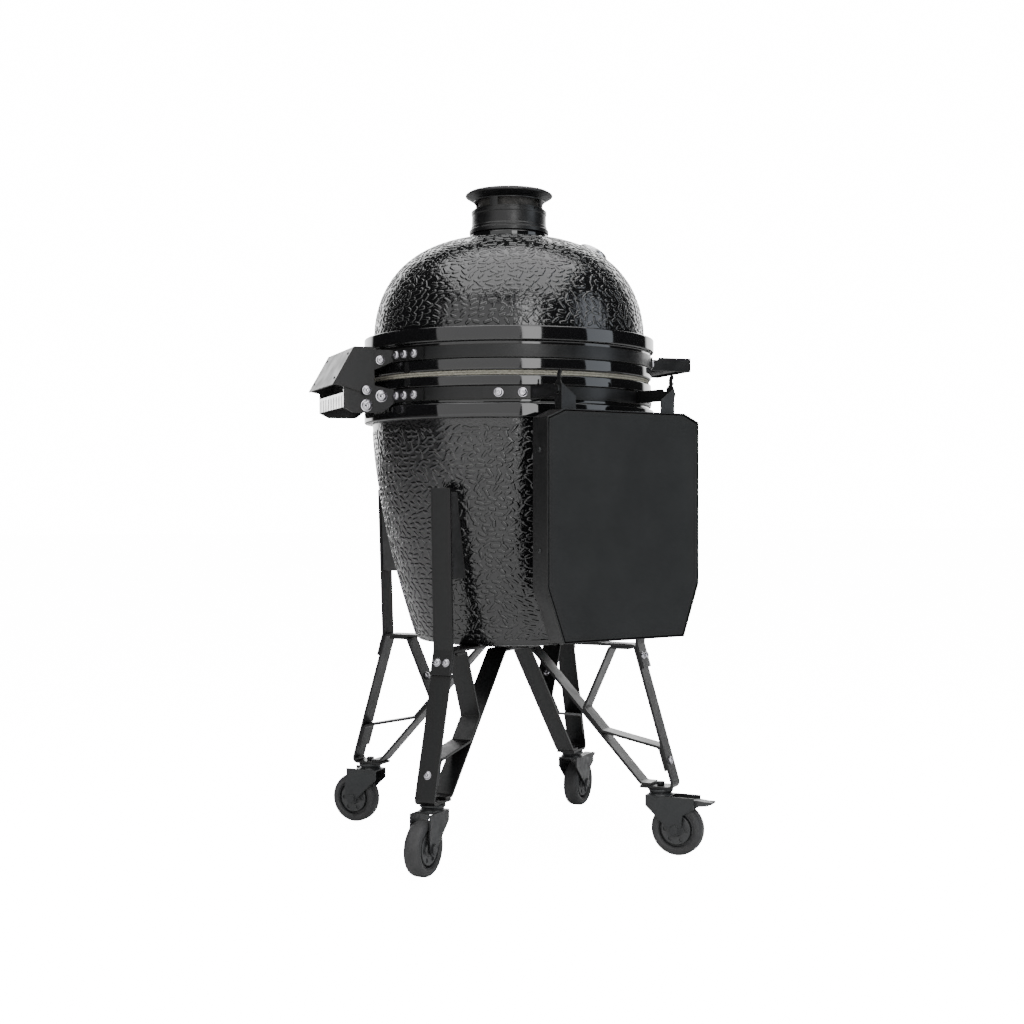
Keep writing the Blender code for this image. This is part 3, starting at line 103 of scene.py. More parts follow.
class GrillSizes(bpy.types.PropertyGroup):
    """Sizes of the details that the frame leaves plain."""

    relief_length: FloatProperty(name="Relief length",
                                 description="Mean length of a raised stroke in the glaze",
                                 default=0.0176, subtype="DISTANCE", unit="LENGTH")
    relief_width: FloatProperty(name="Relief width", description="Mean width of a raised stroke",
                                default=0.0080, subtype="DISTANCE", unit="LENGTH")
    relief_height: FloatProperty(name="Relief height", description="How far a stroke stands out",
                                 default=0.0015, subtype="DISTANCE", unit="LENGTH")
    relief_pitch: FloatProperty(name="Relief pitch", description="Distance between rows of strokes",
                                default=0.0098, subtype="DISTANCE", unit="LENGTH")
    sheet_edge: FloatProperty(name="Sheet edge", description="Rounding on the edges of sheet and flat bar",
                              default=0.0006, subtype="DISTANCE", unit="LENGTH")
    bolt_radius: FloatProperty(name="Bolt head", description="Radius of a button-head bolt",
                               default=0.0072, subtype="DISTANCE", unit="LENGTH")
    round_steps: IntProperty(name="Round steps", description="Segments of the large turned pieces",
                             default=128)


class GrillColors(bpy.types.PropertyGroup):
    """Colours that a user would change."""

    glaze: FloatVectorProperty(name="Glaze", description="Ceramic glaze", subtype="COLOR", size=3,
                               default=(0.0030, 0.0030, 0.0033))
    coat: FloatVectorProperty(name="Powder coat", description="Powder coat on the steel", subtype="COLOR",
                              size=3,
                              default=(0.0042, 0.0042, 0.0044))
    panel: FloatVectorProperty(name="Shelf panel", description="Face of the side shelf", subtype="COLOR",
                               size=3,
                               default=(0.0064, 0.0067, 0.0069))


# ---- materials -----------------------------------------------------------------------
def linear(code):
    """A linear colour from an sRGB hex value."""
    values = [int(code[i:i + 2], 16) / 255 for i in (1, 3, 5)]
    return tuple(v / 12.92 if v <= 0.04045 else ((v + 0.055) / 1.055) ** 2.4 for v in values)


def node(tree, kind, links=None, **settings):
    """Adds a node with its settings, and links its inputs to other nodes' outputs."""
    made = tree.nodes.new(kind)
    for key, value in settings.items():
        if key in made.inputs:
            made.inputs[key].default_value = value
        else:
            setattr(made, key, value)
    for key, source in (links or {}).items():
        tree.links.new(source, made.inputs[key])
    return made


def surface(name, color, roughness, metallic=0.0, **sockets):
    """A named Principled material; returns it with its tree, shader and object coordinates."""
    made = bpy.data.materials.new(name)
    made.use_nodes = True
    tree = made.node_tree
    shader = tree.nodes["Principled BSDF"]
    shader.inputs["Base Color"].default_value = (*color, 1.0)
    shader.inputs["Roughness"].default_value = roughness
    shader.inputs["Metallic"].default_value = metallic
    for key, value in sockets.items():
        shader.inputs[key.replace("_", " ")].default_value = value
    place = node(tree, "ShaderNodeTexCoord").outputs["Object"]
    return made, tree, shader, place


def mottled(tree, shader, place, scale, dark, light, socket="Base Color", detail=4.0):
    """Varies a colour or a value over the surface between two limits."""
    noise = node(tree, "ShaderNodeTexNoise", {"Vector": place}, Scale=scale, Detail=detail)
    ramp = node(tree, "ShaderNodeValToRGB", {"Fac": noise.outputs["Fac"]})
    ramp.color_ramp.elements[0].position = 0.35
    ramp.color_ramp.elements[1].position = 0.68
    ramp.color_ramp.elements[0].color = (*dark, 1.0) if isinstance(dark, tuple) else (dark, dark, dark, 1.0)
    last = (*light, 1.0) if isinstance(light, tuple) else (light, light, light, 1.0)
    ramp.color_ramp.elements[1].color = last
    tree.links.new(ramp.outputs["Color"], shader.inputs[socket])


def grained(tree, shader, place, size, depth, strength=1.0, stretch=None, kind="ShaderNodeTexNoise"):
    """A fine bump whose grains have a size and a depth in metres."""
    if stretch:
        place = node(tree, "ShaderNodeMapping", {"Vector": place}, Scale=stretch).outputs["Vector"]
    noise = node(tree, kind, {"Vector": place}, Scale=1.0 / size)
    output = noise.outputs["Distance"] if kind == "ShaderNodeTexVoronoi" else noise.outputs["Fac"]
    bump = node(tree, "ShaderNodeBump", {"Height": output}, Strength=strength, Distance=depth)
    tree.links.new(bump.outputs["Normal"], shader.inputs["Normal"])


def shaded(color, factor):
    return tuple(c * factor for c in color)


def make_looks(colors):
    looks = {}
    # Black glaze on fired stoneware: a glassy skin, a little wavy, that carries sharp reflections.
    looks["glaze"], tree, shader, place = surface("glazed_stoneware", tuple(colors.glaze), 0.09, IOR=1.52)
    mottled(tree, shader, place, 60.0, 0.07, 0.15, "Roughness")
    grained(tree, shader, place, 0.0058, 0.0011, 0.55)
    # The same glaze on the turned collars, where it pooled smooth.
    looks["collar"], tree, shader, place = surface("pooled_glaze", tuple(colors.glaze), 0.06, IOR=1.52)
    mottled(tree, shader, place, 9.0, 0.045, 0.085, "Roughness")
    grained(tree, shader, place, 0.030, 0.00006, 0.3)
    # Steel sheet with a satin powder coat: fine orange peel, grains of about 0.8 mm drawn a little coarse.
    coat = tuple(colors.coat)
    looks["coat"], tree, shader, place = surface("powder_coated_steel", coat, 0.36, Specular_IOR_Level=0.26)
    mottled(tree, shader, place, 35.0, 0.31, 0.42, "Roughness")
    grained(tree, shader, place, 0.0011, 0.00010, 0.45)
    # Cast steel under matt heat-proof paint, with the pitted grain of the sand it was cast in.
    looks["vent"], tree, shader, place = surface("heat_painted_casting", linear("#0c0c0d"), 0.34,
                                                 Specular_IOR_Level=0.32)
    mottled(tree, shader, place, 80.0, 0.30, 0.44, "Roughness")
    grained(tree, shader, place, 0.0014, 0.00016, 0.5)
    # Needled glass felt: loose grey-beige fibres that scatter light softly.
    looks["felt"], tree, shader, place = surface("needled_felt", linear("#757368"), 0.97)
    mottled(tree, shader, place, 420.0, linear("#5b594f"), linear("#86847a"))
    grained(tree, shader, place, 0.0009, 0.0005, 0.8, (1.0, 1.0, 2.5))
    # Pressed fire clay: chalky, with grog specks of about 2 mm.
    looks["clay"], tree, shader, place = surface("pressed_fire_clay", linear("#b9a78c"), 0.92)
    mottled(tree, shader, place, 260.0, linear("#9f8d74"), linear("#c9b89e"), detail=6.0)
    grained(tree, shader, place, 0.0022, 0.0004, 0.6)
    # Brushed stainless steel: fine scratches that run along one way.
    looks["steel"], tree, shader, place = surface("brushed_stainless", linear("#b9b9ba"), 0.30, 1.0)
    mottled(tree, shader, place, 150.0, 0.22, 0.38, "Roughness")
    grained(tree, shader, place, 0.0009, 0.00006, 0.4, (0.06, 1.0, 1.0))
    # Bright zinc on the hinge's back plate, silky and pale.
    looks["plate"], tree, shader, place = surface("bright_zinc_plate", linear("#dcdcdc"), 0.26, 1.0)
    mottled(tree, shader, place, 60.0, 0.22, 0.34, "Roughness")
    # Zinc-plated bolt heads, tumbled smooth.
    looks["bolt"], tree, shader, place = surface("tumbled_bolt_steel", linear("#a3a1a6"), 0.20, 1.0)
    mottled(tree, shader, place, 700.0, 0.14, 0.30, "Roughness")
    # Sand-cast iron, dull and granular.
    looks["iron"], tree, shader, place = surface("sand_cast_iron", linear("#363534"), 0.72, 0.6)
    mottled(tree, shader, place, 140.0, linear("#2b2a29"), linear("#413f3d"))
    grained(tree, shader, place, 0.0016, 0.0003, 0.7)
    # Phenolic grip, moulded with a dull spark-eroded texture.
    looks["grip"], tree, shader, place = surface("moulded_phenolic", linear("#101011"), 0.48,
                                                 Specular_IOR_Level=0.32)
    mottled(tree, shader, place, 90.0, 0.42, 0.56, "Roughness")
    grained(tree, shader, place, 0.0010, 0.00012, 0.5)
    # Mineral-filled board with a mat charcoal face and faint clouds from pressing.
    panel = tuple(colors.panel)
    looks["panel"], tree, shader, place = surface("pressed_mineral_board", panel, 0.66,
                                                  Specular_IOR_Level=0.20)
    mottled(tree, shader, place, 14.0, shaded(panel, 0.82), shaded(panel, 1.22), detail=8.0)
    grained(tree, shader, place, 0.0012, 0.00012, 0.5)
    # Black zinc on pressed steel: thin, a little metallic and slightly uneven.
    looks["zinc"], tree, shader, place = surface("black_zinc_steel", linear("#262728"), 0.40, 0.55)
    mottled(tree, shader, place, 70.0, 0.32, 0.50, "Roughness")
    grained(tree, shader, place, 0.0016, 0.00010, 0.4)
    # Moulded rubber tread: dull black that greys slightly where it rubs.
    looks["rubber"], tree, shader, place = surface("moulded_rubber", linear("#1b1b1c"), 0.68)
    mottled(tree, shader, place, 45.0, linear("#171718"), linear("#242425"))
    grained(tree, shader, place, 0.0008, 0.00012, 0.5)
    # Glass-filled nylon of the wheel centres and pedals.
    looks["nylon"], tree, shader, place = surface("moulded_nylon", linear("#1f2021"), 0.50)
    mottled(tree, shader, place, 60.0, 0.42, 0.60, "Roughness")
    grained(tree, shader, place, 0.0013, 0.00010, 0.5)
    # Enamelled dial and needle of the thermometer.
    looks["dial"], tree, shader, place = surface("enamelled_dial", linear("#e6e4dc"), 0.35)
    mottled(tree, shader, place, 500.0, linear("#e0ded5"), linear("#ebe9e2"))
    looks["print"], tree, shader, place = surface("printed_ink", linear("#1a1a1a"), 0.5)
    mottled(tree, shader, place, 900.0, linear("#151515"), linear("#222222"))
    looks["needle"], tree, shader, place = surface("enamelled_needle", linear("#b3201a"), 0.35)
    mottled(tree, shader, place, 900.0, linear("#a81c17"), linear("#bd241d"))
    # Mineral glass over the dial.
    looks["glass"], tree, shader, place = surface("mineral_glass", (1.0, 1.0, 1.0), 0.03, IOR=1.52,
                                                  Transmission_Weight=1.0)
    mottled(tree, shader, place, 40.0, 0.02, 0.05, "Roughness")
    return looks


LOOKS = {}


# ---- modelling helpers ----------------------------------------------------------------
def deselect():
    if bpy.context.object and bpy.context.object.mode != "OBJECT":
        bpy.ops.object.mode_set(mode="OBJECT")
    bpy.ops.object.select_all(action="DESELECT")


def settle(obj, look, body, stands_for=(), smooth=32.0):
    """Gives a finished piece its look, its body and what it stands for, with its place in its mesh."""
    deselect()
    bpy.context.view_layer.update()
    obj.data.transform(obj.matrix_world)
    obj.matrix_world = Matrix.Identity(4)
    marks = [face.material_index for face in obj.data.polygons]
    obj.data.materials.clear()
    for each in look if isinstance(look, tuple) else (look,):
        obj.data.materials.append(LOOKS[each])
    obj.data.polygons.foreach_set("material_index", marks if isinstance(look, tuple) else [0] * len(marks))
    obj.select_set(True)
    bpy.context.view_layer.objects.active = obj
    bpy.ops.object.shade_smooth_by_angle(angle=radians(smooth))
    obj.select_set(False)
    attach(obj, body)
    if stands_for:
        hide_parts(*stands_for)
    return obj


def bevelled(obj, width, segments=2, angle=28.0):
    """Rounds the sharp edges and applies it."""
    bpy.context.view_layer.objects.active = obj
    step = obj.modifiers.new("edge", "BEVEL")
    step.width = width
    step.segments = segments
    step.limit_method = "ANGLE"
    step.angle_limit = radians(angle)
    step.use_clamp_overlap = True
    bpy.ops.object.modifier_apply(modifier=step.name)
    return obj


def cut_with(obj, cutters):
    """Takes cutter objects out of a piece and removes them."""
    for cutter in cutters:
        bpy.context.view_layer.objects.active = obj
        step = obj.modifiers.new("cut", "BOOLEAN")
        step.object = cutter
        step.solver = "EXACT"
        bpy.ops.object.modifier_apply(modifier=step.name)
        bpy.data.objects.remove(cutter, do_unlink=True)
    return obj


def from_cad(name, cad):
    """A merged copy of a CAD node, as a mesh of whole faces."""
    deselect()
    obj = bpy.data.objects.new(name, frame["nodes"][cad].data.copy())
    bpy.context.scene.collection.objects.link(obj)
    for key in list(obj.keys()):
        del obj[key]
    obj.select_set(True)
    bpy.context.view_layer.objects.active = obj
    bpy.ops.object.mode_set(mode="EDIT")
    bpy.ops.mesh.select_all(action="SELECT")
    bpy.ops.mesh.remove_doubles(threshold=0.00002)
    bpy.ops.mesh.dissolve_limited(angle_limit=radians(0.6))
    bpy.ops.object.mode_set(mode="OBJECT")
    return obj


def evened(obj):
    """Weighs the normals by face area, so that the flats stay flat beside their rounded edges."""
    bpy.context.view_layer.objects.active = obj
    step = obj.modifiers.new("even", "WEIGHTED_NORMAL")
    step.keep_sharp = True
    bpy.ops.object.modifier_apply(modifier=step.name)
    return obj


def dressed(cad, look, body, edge, segments=2):
    """A CAD node's shape with rounded edges, standing for that node."""
    obj = bevelled(from_cad(f"{cad}_dressed", cad), edge, segments)
    return evened(settle(obj, look, body, (cad,)))


def rounded(points, radius, steps=4):
    """A path of (r, z) points with its corners rounded, each by no more than its runs allow."""
    path = [Vector(points[0])]
    for before, corner, after in zip(points, points[1:], points[2:]):
        here, a, b = Vector(corner), Vector(before), Vector(after)
        to_a, to_b = a - here, b - here
        back = min(radius, to_a.length * 0.45, to_b.length * 0.45)
        first, last = here + to_a.normalized() * back, here + to_b.normalized() * back
        for i in range(steps + 1):
            share = i / steps
            path.append(first * (1 - share) ** 2 + here * 2 * share * (1 - share) + last * share ** 2)
    path.append(Vector(points[-1]))
    return path


def turned(name, points, steps, place=None, lean=None):
    """A path of (r, z) points extruded from one vertex and spun round the grill's axis, or another one."""
    deselect()
    bpy.ops.mesh.primitive_plane_add(size=0.001, location=(0.0, 0.0, 0.0))
    obj = bpy.context.object
    obj.name = name
    bpy.ops.object.mode_set(mode="EDIT")
    bpy.ops.mesh.select_all(action="SELECT")
    bpy.ops.mesh.merge(type="CENTER")
    bpy.ops.transform.translate(value=(points[0][0], 0.0, points[0][1]))
    for before, after in zip(points, points[1:]):
        move = (after[0] - before[0], 0.0, after[1] - before[1])
        bpy.ops.mesh.extrude_region_move(TRANSFORM_OT_translate={"value": move})
    bpy.ops.mesh.select_all(action="SELECT")
    bpy.ops.mesh.spin(steps=steps, angle=2 * pi, center=(0.0, 0.0, 0.0), axis=(0.0, 0.0, 1.0))
    bpy.ops.mesh.select_all(action="SELECT")
    bpy.ops.mesh.remove_doubles(threshold=0.00002)
    bpy.ops.mesh.normals_make_consistent(inside=False)
    bpy.ops.object.mode_set(mode="OBJECT")
    middle = Vector(place) if place is not None else AXIS
    turn = lean if lean is not None else Matrix.Identity(4)
    obj.data.transform(Matrix.Translation(middle) @ turn)
    return obj


def block(name, low, high, edge=0.0006):
    """A box between two corners, with rounded edges."""
    deselect()
    middle = [(a + b) / 2 for a, b in zip(low, high)]
    size = [b - a for a, b in zip(low, high)]
    bpy.ops.mesh.primitive_cube_add(size=1.0, location=middle)
    obj = bpy.context.object
    obj.name = name
    obj.scale = size
    bpy.ops.object.transform_apply(location=True, rotation=True, scale=True)
    return bevelled(obj, edge) if edge else obj


def rod(name, start, end, radius, edge=0.0006, sides=24):
    """A round rod between two points."""
    deselect()
    a, b = Vector(start), Vector(end)
    turn = (b - a).to_track_quat("Z", "Y").to_euler()
    bpy.ops.mesh.primitive_cylinder_add(vertices=sides, radius=radius, depth=(b - a).length,
                                        location=(a + b) / 2, rotation=turn)
    obj = bpy.context.object
    obj.name = name
    bpy.ops.object.transform_apply(location=True, rotation=True, scale=True)
    return bevelled(obj, edge) if edge else obj


def joined(name, objects):
    """Several meshes made one object."""
    deselect()
    for obj in objects:
        obj.select_set(True)
    bpy.context.view_layer.objects.active = objects[0]
    if len(objects) > 1:
        bpy.ops.object.join()
    objects[0].name = name
    return objects[0]


def bolt_model(radius):
    """One button-head bolt on the z axis: a domed head with a hexagon socket and a thin washer under it."""
    dome = [(0.0, 0.0), (radius * 1.18, 0.0), (radius * 1.18, radius * 0.12), (radius, radius * 0.12),
            (radius, radius * 0.24), (radius * 0.90, radius * 0.46), (radius * 0.62, radius * 0.60),
            (radius * 0.42, radius * 0.62), (radius * 0.38, radius * 0.28), (0.0, radius * 0.24)]
    obj = turned("bolt_model", rounded(dome, radius * 0.10, 2), 24, (0, 0, 0))
    socket = radius * 0.40
    for vertex in obj.data.vertices:
        reach = hypot(vertex.co.x, vertex.co.y)
        if 0.2 * socket < reach < 1.1 * socket:
            turn = (atan2(vertex.co.y, vertex.co.x) % (pi / 3)) - pi / 6
            shape = cos(pi / 6) / cos(turn)
            vertex.co.x *= shape
            vertex.co.y *= shape
    return obj


def bolts(name, model, places, body, look="bolt"):
    """Copies of a bolt with their heads along given directions, joined as one piece."""
    made = []
    for point, direction in places:
        obj = bpy.data.objects.new(name, model.data.copy())
        bpy.context.scene.collection.objects.link(obj)
        turn = Vector(direction).to_track_quat("Z", "Y").to_matrix().to_4x4()
        obj.data.transform(Matrix.Translation(point) @ turn)
        made.append(obj)
    return settle(joined(name, made), look, body)


def on_node(cad, start, direction):
    """Where a ray meets a CAD node, with that face's normal turned against the ray."""
    shape = frame["nodes"][cad]
    points = [shape.matrix_world @ v.co for v in shape.data.vertices]
    tree = BVHTree.FromPolygons(points, [tuple(f.vertices) for f in shape.data.polygons])
    place, normal, _, _ = tree.ray_cast(start, direction.normalized())
    if place is None:
        raise RuntimeError(f"no face of {cad} to seat a bolt on")
    return place, normal if normal.dot(direction) < 0 else -normal


def around(radius, degrees, z):
    """A point at a radius and angle round the grill's axis."""
    turn = radians(degrees)
    return AXIS + Vector((radius * cos(turn), radius * sin(turn), z))


def outward(degrees):
    return Vector((cos(radians(degrees)), sin(radians(degrees)), 0.0))


# ---- ceramic ---------------------------------------------------------------------------
def bowl_radius(z):
    share = (LOWER_COLLAR[0] - z) / (LOWER_COLLAR[0] - BOWL_BOTTOM)
    return BOWL_TOP_RADIUS - BOWL_TAPER * max(share, 0.0) ** BOWL_SWEEP


def dome_point(share, inset=0.0):
    turn = share * pi / 2
    radius = (DOME_RADIUS - inset) * cos(turn) ** DOME_SIDE_POWER
    return radius, DOME_BASE + (DOME_HEIGHT - inset) * sin(turn) ** DOME_TOP_POWER


def dome_share(radius):
    return acos((radius / DOME_RADIUS) ** (1 / DOME_SIDE_POWER)) / (pi / 2)


def bowl_outside():
    """The textured outside of the bowl, from under its collar to its foot."""
    drop = LOWER_COLLAR[0] - BOWL_BOTTOM - 0.012
    return [(bowl_radius(LOWER_COLLAR[0] - drop * i / 36), LOWER_COLLAR[0] - drop * i / 36)
            for i in range(1, 37)]


def dome_outside():
    """The textured outside of the lid, from its collar to the neck."""
    top = dome_share(NECK_RADIUS + 0.004)
    return [dome_point(0.02 + (top - 0.02) * i / 44) for i in range(45)]


def stroke_model(sizes):
    """One raised stroke: a capsule with a rounded back, closed below."""
    deselect()
    half = sizes.relief_width / 2
    bpy.ops.mesh.primitive_circle_add(vertices=10, radius=half, fill_type="NGON", location=(0, 0, 0))
    obj = bpy.context.object
    reach = (sizes.relief_length - sizes.relief_width) / 2
    for vertex in obj.data.vertices:
        if abs(vertex.co.x) > 1e-5:
            vertex.co.x += reach if vertex.co.x > 0 else -reach
    bpy.ops.object.mode_set(mode="EDIT")
    bpy.ops.mesh.select_all(action="SELECT")
    for rise, width, length in ((0.42, 0.87, 0.94), (0.40, 0.74, 0.90), (0.18, 0.50, 0.80)):
        bpy.ops.mesh.extrude_region_move(TRANSFORM_OT_translate={"value": (0, 0, sizes.relief_height * rise)})
        bpy.ops.transform.resize(value=(length, width, 1.0), center_override=(0.0, 0.0, 0.0))
    bpy.ops.mesh.select_all(action="SELECT")
    bpy.ops.mesh.normals_make_consistent(inside=False)
    bpy.ops.object.mode_set(mode="OBJECT")
    points = np.array([v.co[:] for v in obj.data.vertices])
    faces = [tuple(f.vertices) for f in obj.data.polygons]
    bpy.data.objects.remove(obj)
    return points, faces


def relief(name, outline, start, end, sizes, seed):
    """Raised strokes laid over a turned outline, each bent and turned by its own amount."""
    dice = np.random.default_rng(seed)
    points, faces = stroke_model(sizes)
    line = np.array(outline)
    steps = np.hypot(*np.diff(line, axis=0).T)
    along = np.concatenate([[0.0], np.cumsum(steps)])
    slope = np.gradient(line, along, axis=0)
    side = np.stack([-slope[:, 1], slope[:, 0]], 1)
    side *= np.sign(side[len(side) // 2, 0])
    spans = []
    for s in np.arange(start, end, sizes.relief_pitch):
        r = np.interp(s, along, line[:, 0])
        count = int(2 * pi * r / (sizes.relief_length * 1.03))
        turns = (np.arange(count) + dice.uniform()) / count * 2 * pi
        for turn in turns:
            spans.append((s + dice.normal(0, 0.0012), turn + dice.normal(0, 0.0016) / r))
    spans = np.array(spans)
    count = len(spans)
    angle = np.radians(dice.normal(4.0, 33.0, count))
    stretch = dice.uniform(0.78, 1.16, count)
    bend = dice.uniform(-1.0, 1.0, count) * 0.0021
    x = points[:, 0][None, :] * stretch[:, None]
    half = sizes.relief_length / 2
    y = points[:, 1][None, :] * dice.uniform(0.85, 1.12, count)[:, None]
    y = y + bend[:, None] * np.sin(x / half * pi / 1.6)
    u = x * np.cos(angle)[:, None] - y * np.sin(angle)[:, None]
    v = x * np.sin(angle)[:, None] + y * np.cos(angle)[:, None]
    s = np.clip(spans[:, 0][:, None] + v, along[0], along[-1])
    r = np.interp(s, along, line[:, 0])
    z = np.interp(s, along, line[:, 1])
    nr, nz = np.interp(s, along, side[:, 0]), np.interp(s, along, side[:, 1])
    h = points[:, 2][None, :] - 0.0005
    theta = spans[:, 1][:, None] + u / np.interp(spans[:, 0], along, line[:, 0])[:, None]
    out = r + nr * h
    xyz = np.stack([out * np.cos(theta) + AXIS.x, out * np.sin(theta) + AXIS.y, z + nz * h], -1)
    xyz = xyz.reshape(-1, 3)
    each = len(points)
    mesh = bpy.data.meshes.new(name)
    mesh.from_pydata(xyz.tolist(), [], [tuple(i + k * each for i in f) for k in range(count) for f in faces])
    obj = bpy.data.objects.new(name, mesh)
    bpy.context.scene.collection.objects.link(obj)
    obj.select_set(True)
    bpy.context.view_layer.objects.active = obj
    bpy.ops.object.mode_set(mode="EDIT")
    bpy.ops.mesh.select_all(action="SELECT")
    bpy.ops.mesh.normals_make_consistent(inside=False)
    bpy.ops.object.mode_set(mode="OBJECT")
    return obj


def textured(obj, low, high):
    """Marks the faces of a ceramic piece between two heights for its second look."""
    for face in obj.data.polygons:
        face.material_index = 1 if low < face.center.z < high else 0


class GRILL_OT_ceramics(bpy.types.Operator):
    """Turns the glazed bowl and lid and lays the raised strokes over them"""

    bl_idname = "grill.ceramics"
    bl_label = "Ceramics"

    def execute(self, context):
        sizes = context.scene.grill_sizes
        steps = sizes.round_steps
        floor = BOWL_BOTTOM + 0.030
        ring = rounded([(INNER_RADIUS, LOWER_COLLAR[1]), (INNER_RADIUS, BOWL_RIM), (RIM_RADIUS, BOWL_RIM),
                        (RIM_RADIUS, BASE_BAND[1].z + 0.0015), (SEAT_RADIUS, BASE_BAND[1].z + 0.0015),
                        (SEAT_RADIUS, LOWER_COLLAR[1]), (COLLAR_RADIUS, LOWER_COLLAR[1]),
                        (COLLAR_RADIUS, LOWER_COLLAR[0]), (0.2700, LOWER_COLLAR[0] - 0.001)], 0.0030)
        inner = [(0.0, floor), (bowl_radius(floor) - 0.043, floor),
                 (bowl_radius(floor + 0.02) - WALL, floor + 0.02)]
        inner += [(bowl_radius(z) - WALL, z) for z in (0.50, 0.60, 0.70, 0.78)]
        foot = rounded([bowl_outside()[-1], (0.1790, BOWL_BOTTOM), (0.0, BOWL_BOTTOM)], 0.008)
        bowl = turned("glazed_bowl", inner + ring + bowl_outside()[:-1] + foot, steps)
        low, high, _ = span("draft_frame")
        hole = block("draft_hole", (low.x + 0.0095, low.y - 0.02, low.z + 0.0095),
                     (high.x - 0.0095, high.y + 0.05, high.z - 0.0095), 0.0)
        cut_with(bowl, [hole])
        textured(bowl, BOWL_BOTTOM, LOWER_COLLAR[0])
        settle(bowl, ("collar", "glaze"), "base", ("ceramic_base",))
        neck = dome_point(dome_share(NECK_RADIUS))[1]
        ring = rounded([(0.2680, UPPER_COLLAR[1] + 0.001), (COLLAR_RADIUS, UPPER_COLLAR[1]),
                        (COLLAR_RADIUS, UPPER_COLLAR[0]), (SEAT_RADIUS, UPPER_COLLAR[0]),
                        (SEAT_RADIUS, LID_BAND[0].z - 0.0015), (RIM_RADIUS, LID_BAND[0].z - 0.0015),
                        (RIM_RADIUS, LID_RIM), (INNER_RADIUS, LID_RIM),
                        (INNER_RADIUS, UPPER_COLLAR[0])], 0.0030)
        top = rounded([(FLUE_RADIUS, neck - 0.030), (FLUE_RADIUS, NECK_TOP), (NECK_RADIUS, NECK_TOP),
                       (NECK_RADIUS, neck),
                       dome_outside()[-1]], 0.004)
        under = [dome_point(i / 12, WALL) for i in range(1, 11) if dome_point(i / 12, WALL)[0] > 0.07]
        lid = turned("glazed_lid", top + dome_outside()[-2::-1] + ring + under + [tuple(top[0])], steps)
        textured(lid, UPPER_COLLAR[1] + 0.0005, neck)
        settle(lid, ("collar", "glaze"), "lid", ("ceramic_lid",))
        outline = bowl_outside()
        half = 0.215
        for name, start, end, seed in (("bowl_strokes_upper", 0.008, half, 3),
                                       ("bowl_strokes_lower", half, 0.418, 4)):
            obj = relief(name, outline, start, end, sizes, seed)
            settle(obj, "glaze", "base", smooth=180.0)
        outline = dome_outside()
        obj = relief("lid_strokes", outline, 0.008, 0.290, sizes, 5)
        settle(obj, "glaze", "lid", smooth=180.0)
        return {"FINISHED"}


# ---- bands, gaskets and fire box ---------------------------------------------------------
class GRILL_OT_bands(bpy.types.Operator):
    """Makes the two steel bands and the felt gaskets"""

    bl_idname = "grill.bands"
    bl_label = "Bands and gaskets"

    def execute(self, context):
        steps = context.scene.grill_sizes.round_steps
        for cad, body in (("base_band", "base"), ("lid_band", "lid")):
            low, high, _ = span(cad)
            ring = [(SEAT_RADIUS + 0.0005, low.z), (BAND_RADIUS, low.z), (BAND_RADIUS, high.z),
                    (SEAT_RADIUS + 0.0005, high.z), (SEAT_RADIUS + 0.0005, low.z)]
            band = turned(f"{cad}_strap", rounded(ring, 0.0009, 3), steps)
            settle(band, "coat", body, (cad,))
        for cad, body in (("base_gasket", "base"), ("lid_gasket", "lid")):
            low, high, _ = span(cad)
            outer = (high.x - low.x) / 2
            ring = [(outer - 0.022, low.z), (outer + 0.0012, low.z), (outer + 0.0012, high.z),
                    (outer - 0.022, high.z),
                    (outer - 0.022, low.z)]
            felt = turned(f"{cad}_felt", rounded(ring, 0.0016, 3), steps)
            settle(felt, "felt", body, (cad,))
        return {"FINISHED"}


class GRILL_OT_fire_box(bpy.types.Operator):
    """Dresses the fire bowl, its ring and the two grates"""

    bl_idname = "grill.fire_box"
    bl_label = "Fire box"

    def execute(self, context):
        dressed("fire_bowl", "clay", "base", 0.003)
        dressed("fire_ring", "clay", "base", 0.003)
        dressed("charcoal_grate", "iron", "base", 0.0012)
        dressed("cooking_grate", "steel", "base", 0.0015)
        return {"FINISHED"}


class GRILL_OT_draft(bpy.types.Operator):
    """Dresses the draft opening's frame and its sliding door"""

    bl_idname = "grill.draft"
    bl_label = "Draft opening"

    def execute(self, context):
        dressed("draft_frame", "steel", "base", 0.0005)
        dressed("draft_door", "steel", "draft_door", 0.0005)
        low, high, middle = span("draft_door")
        ribs = [block("rib", (low.x + 0.012, high.y - 0.0042, middle.z + k * 0.012 - 0.0012),
                      (high.x - 0.034, high.y - 0.0030, middle.z + k * 0.012 + 0.0012), 0.0005)
                for k in (-1, 0, 1)]
        settle(joined("door_ribs", ribs), "steel", "draft_door")
        return {"FINISHED"}


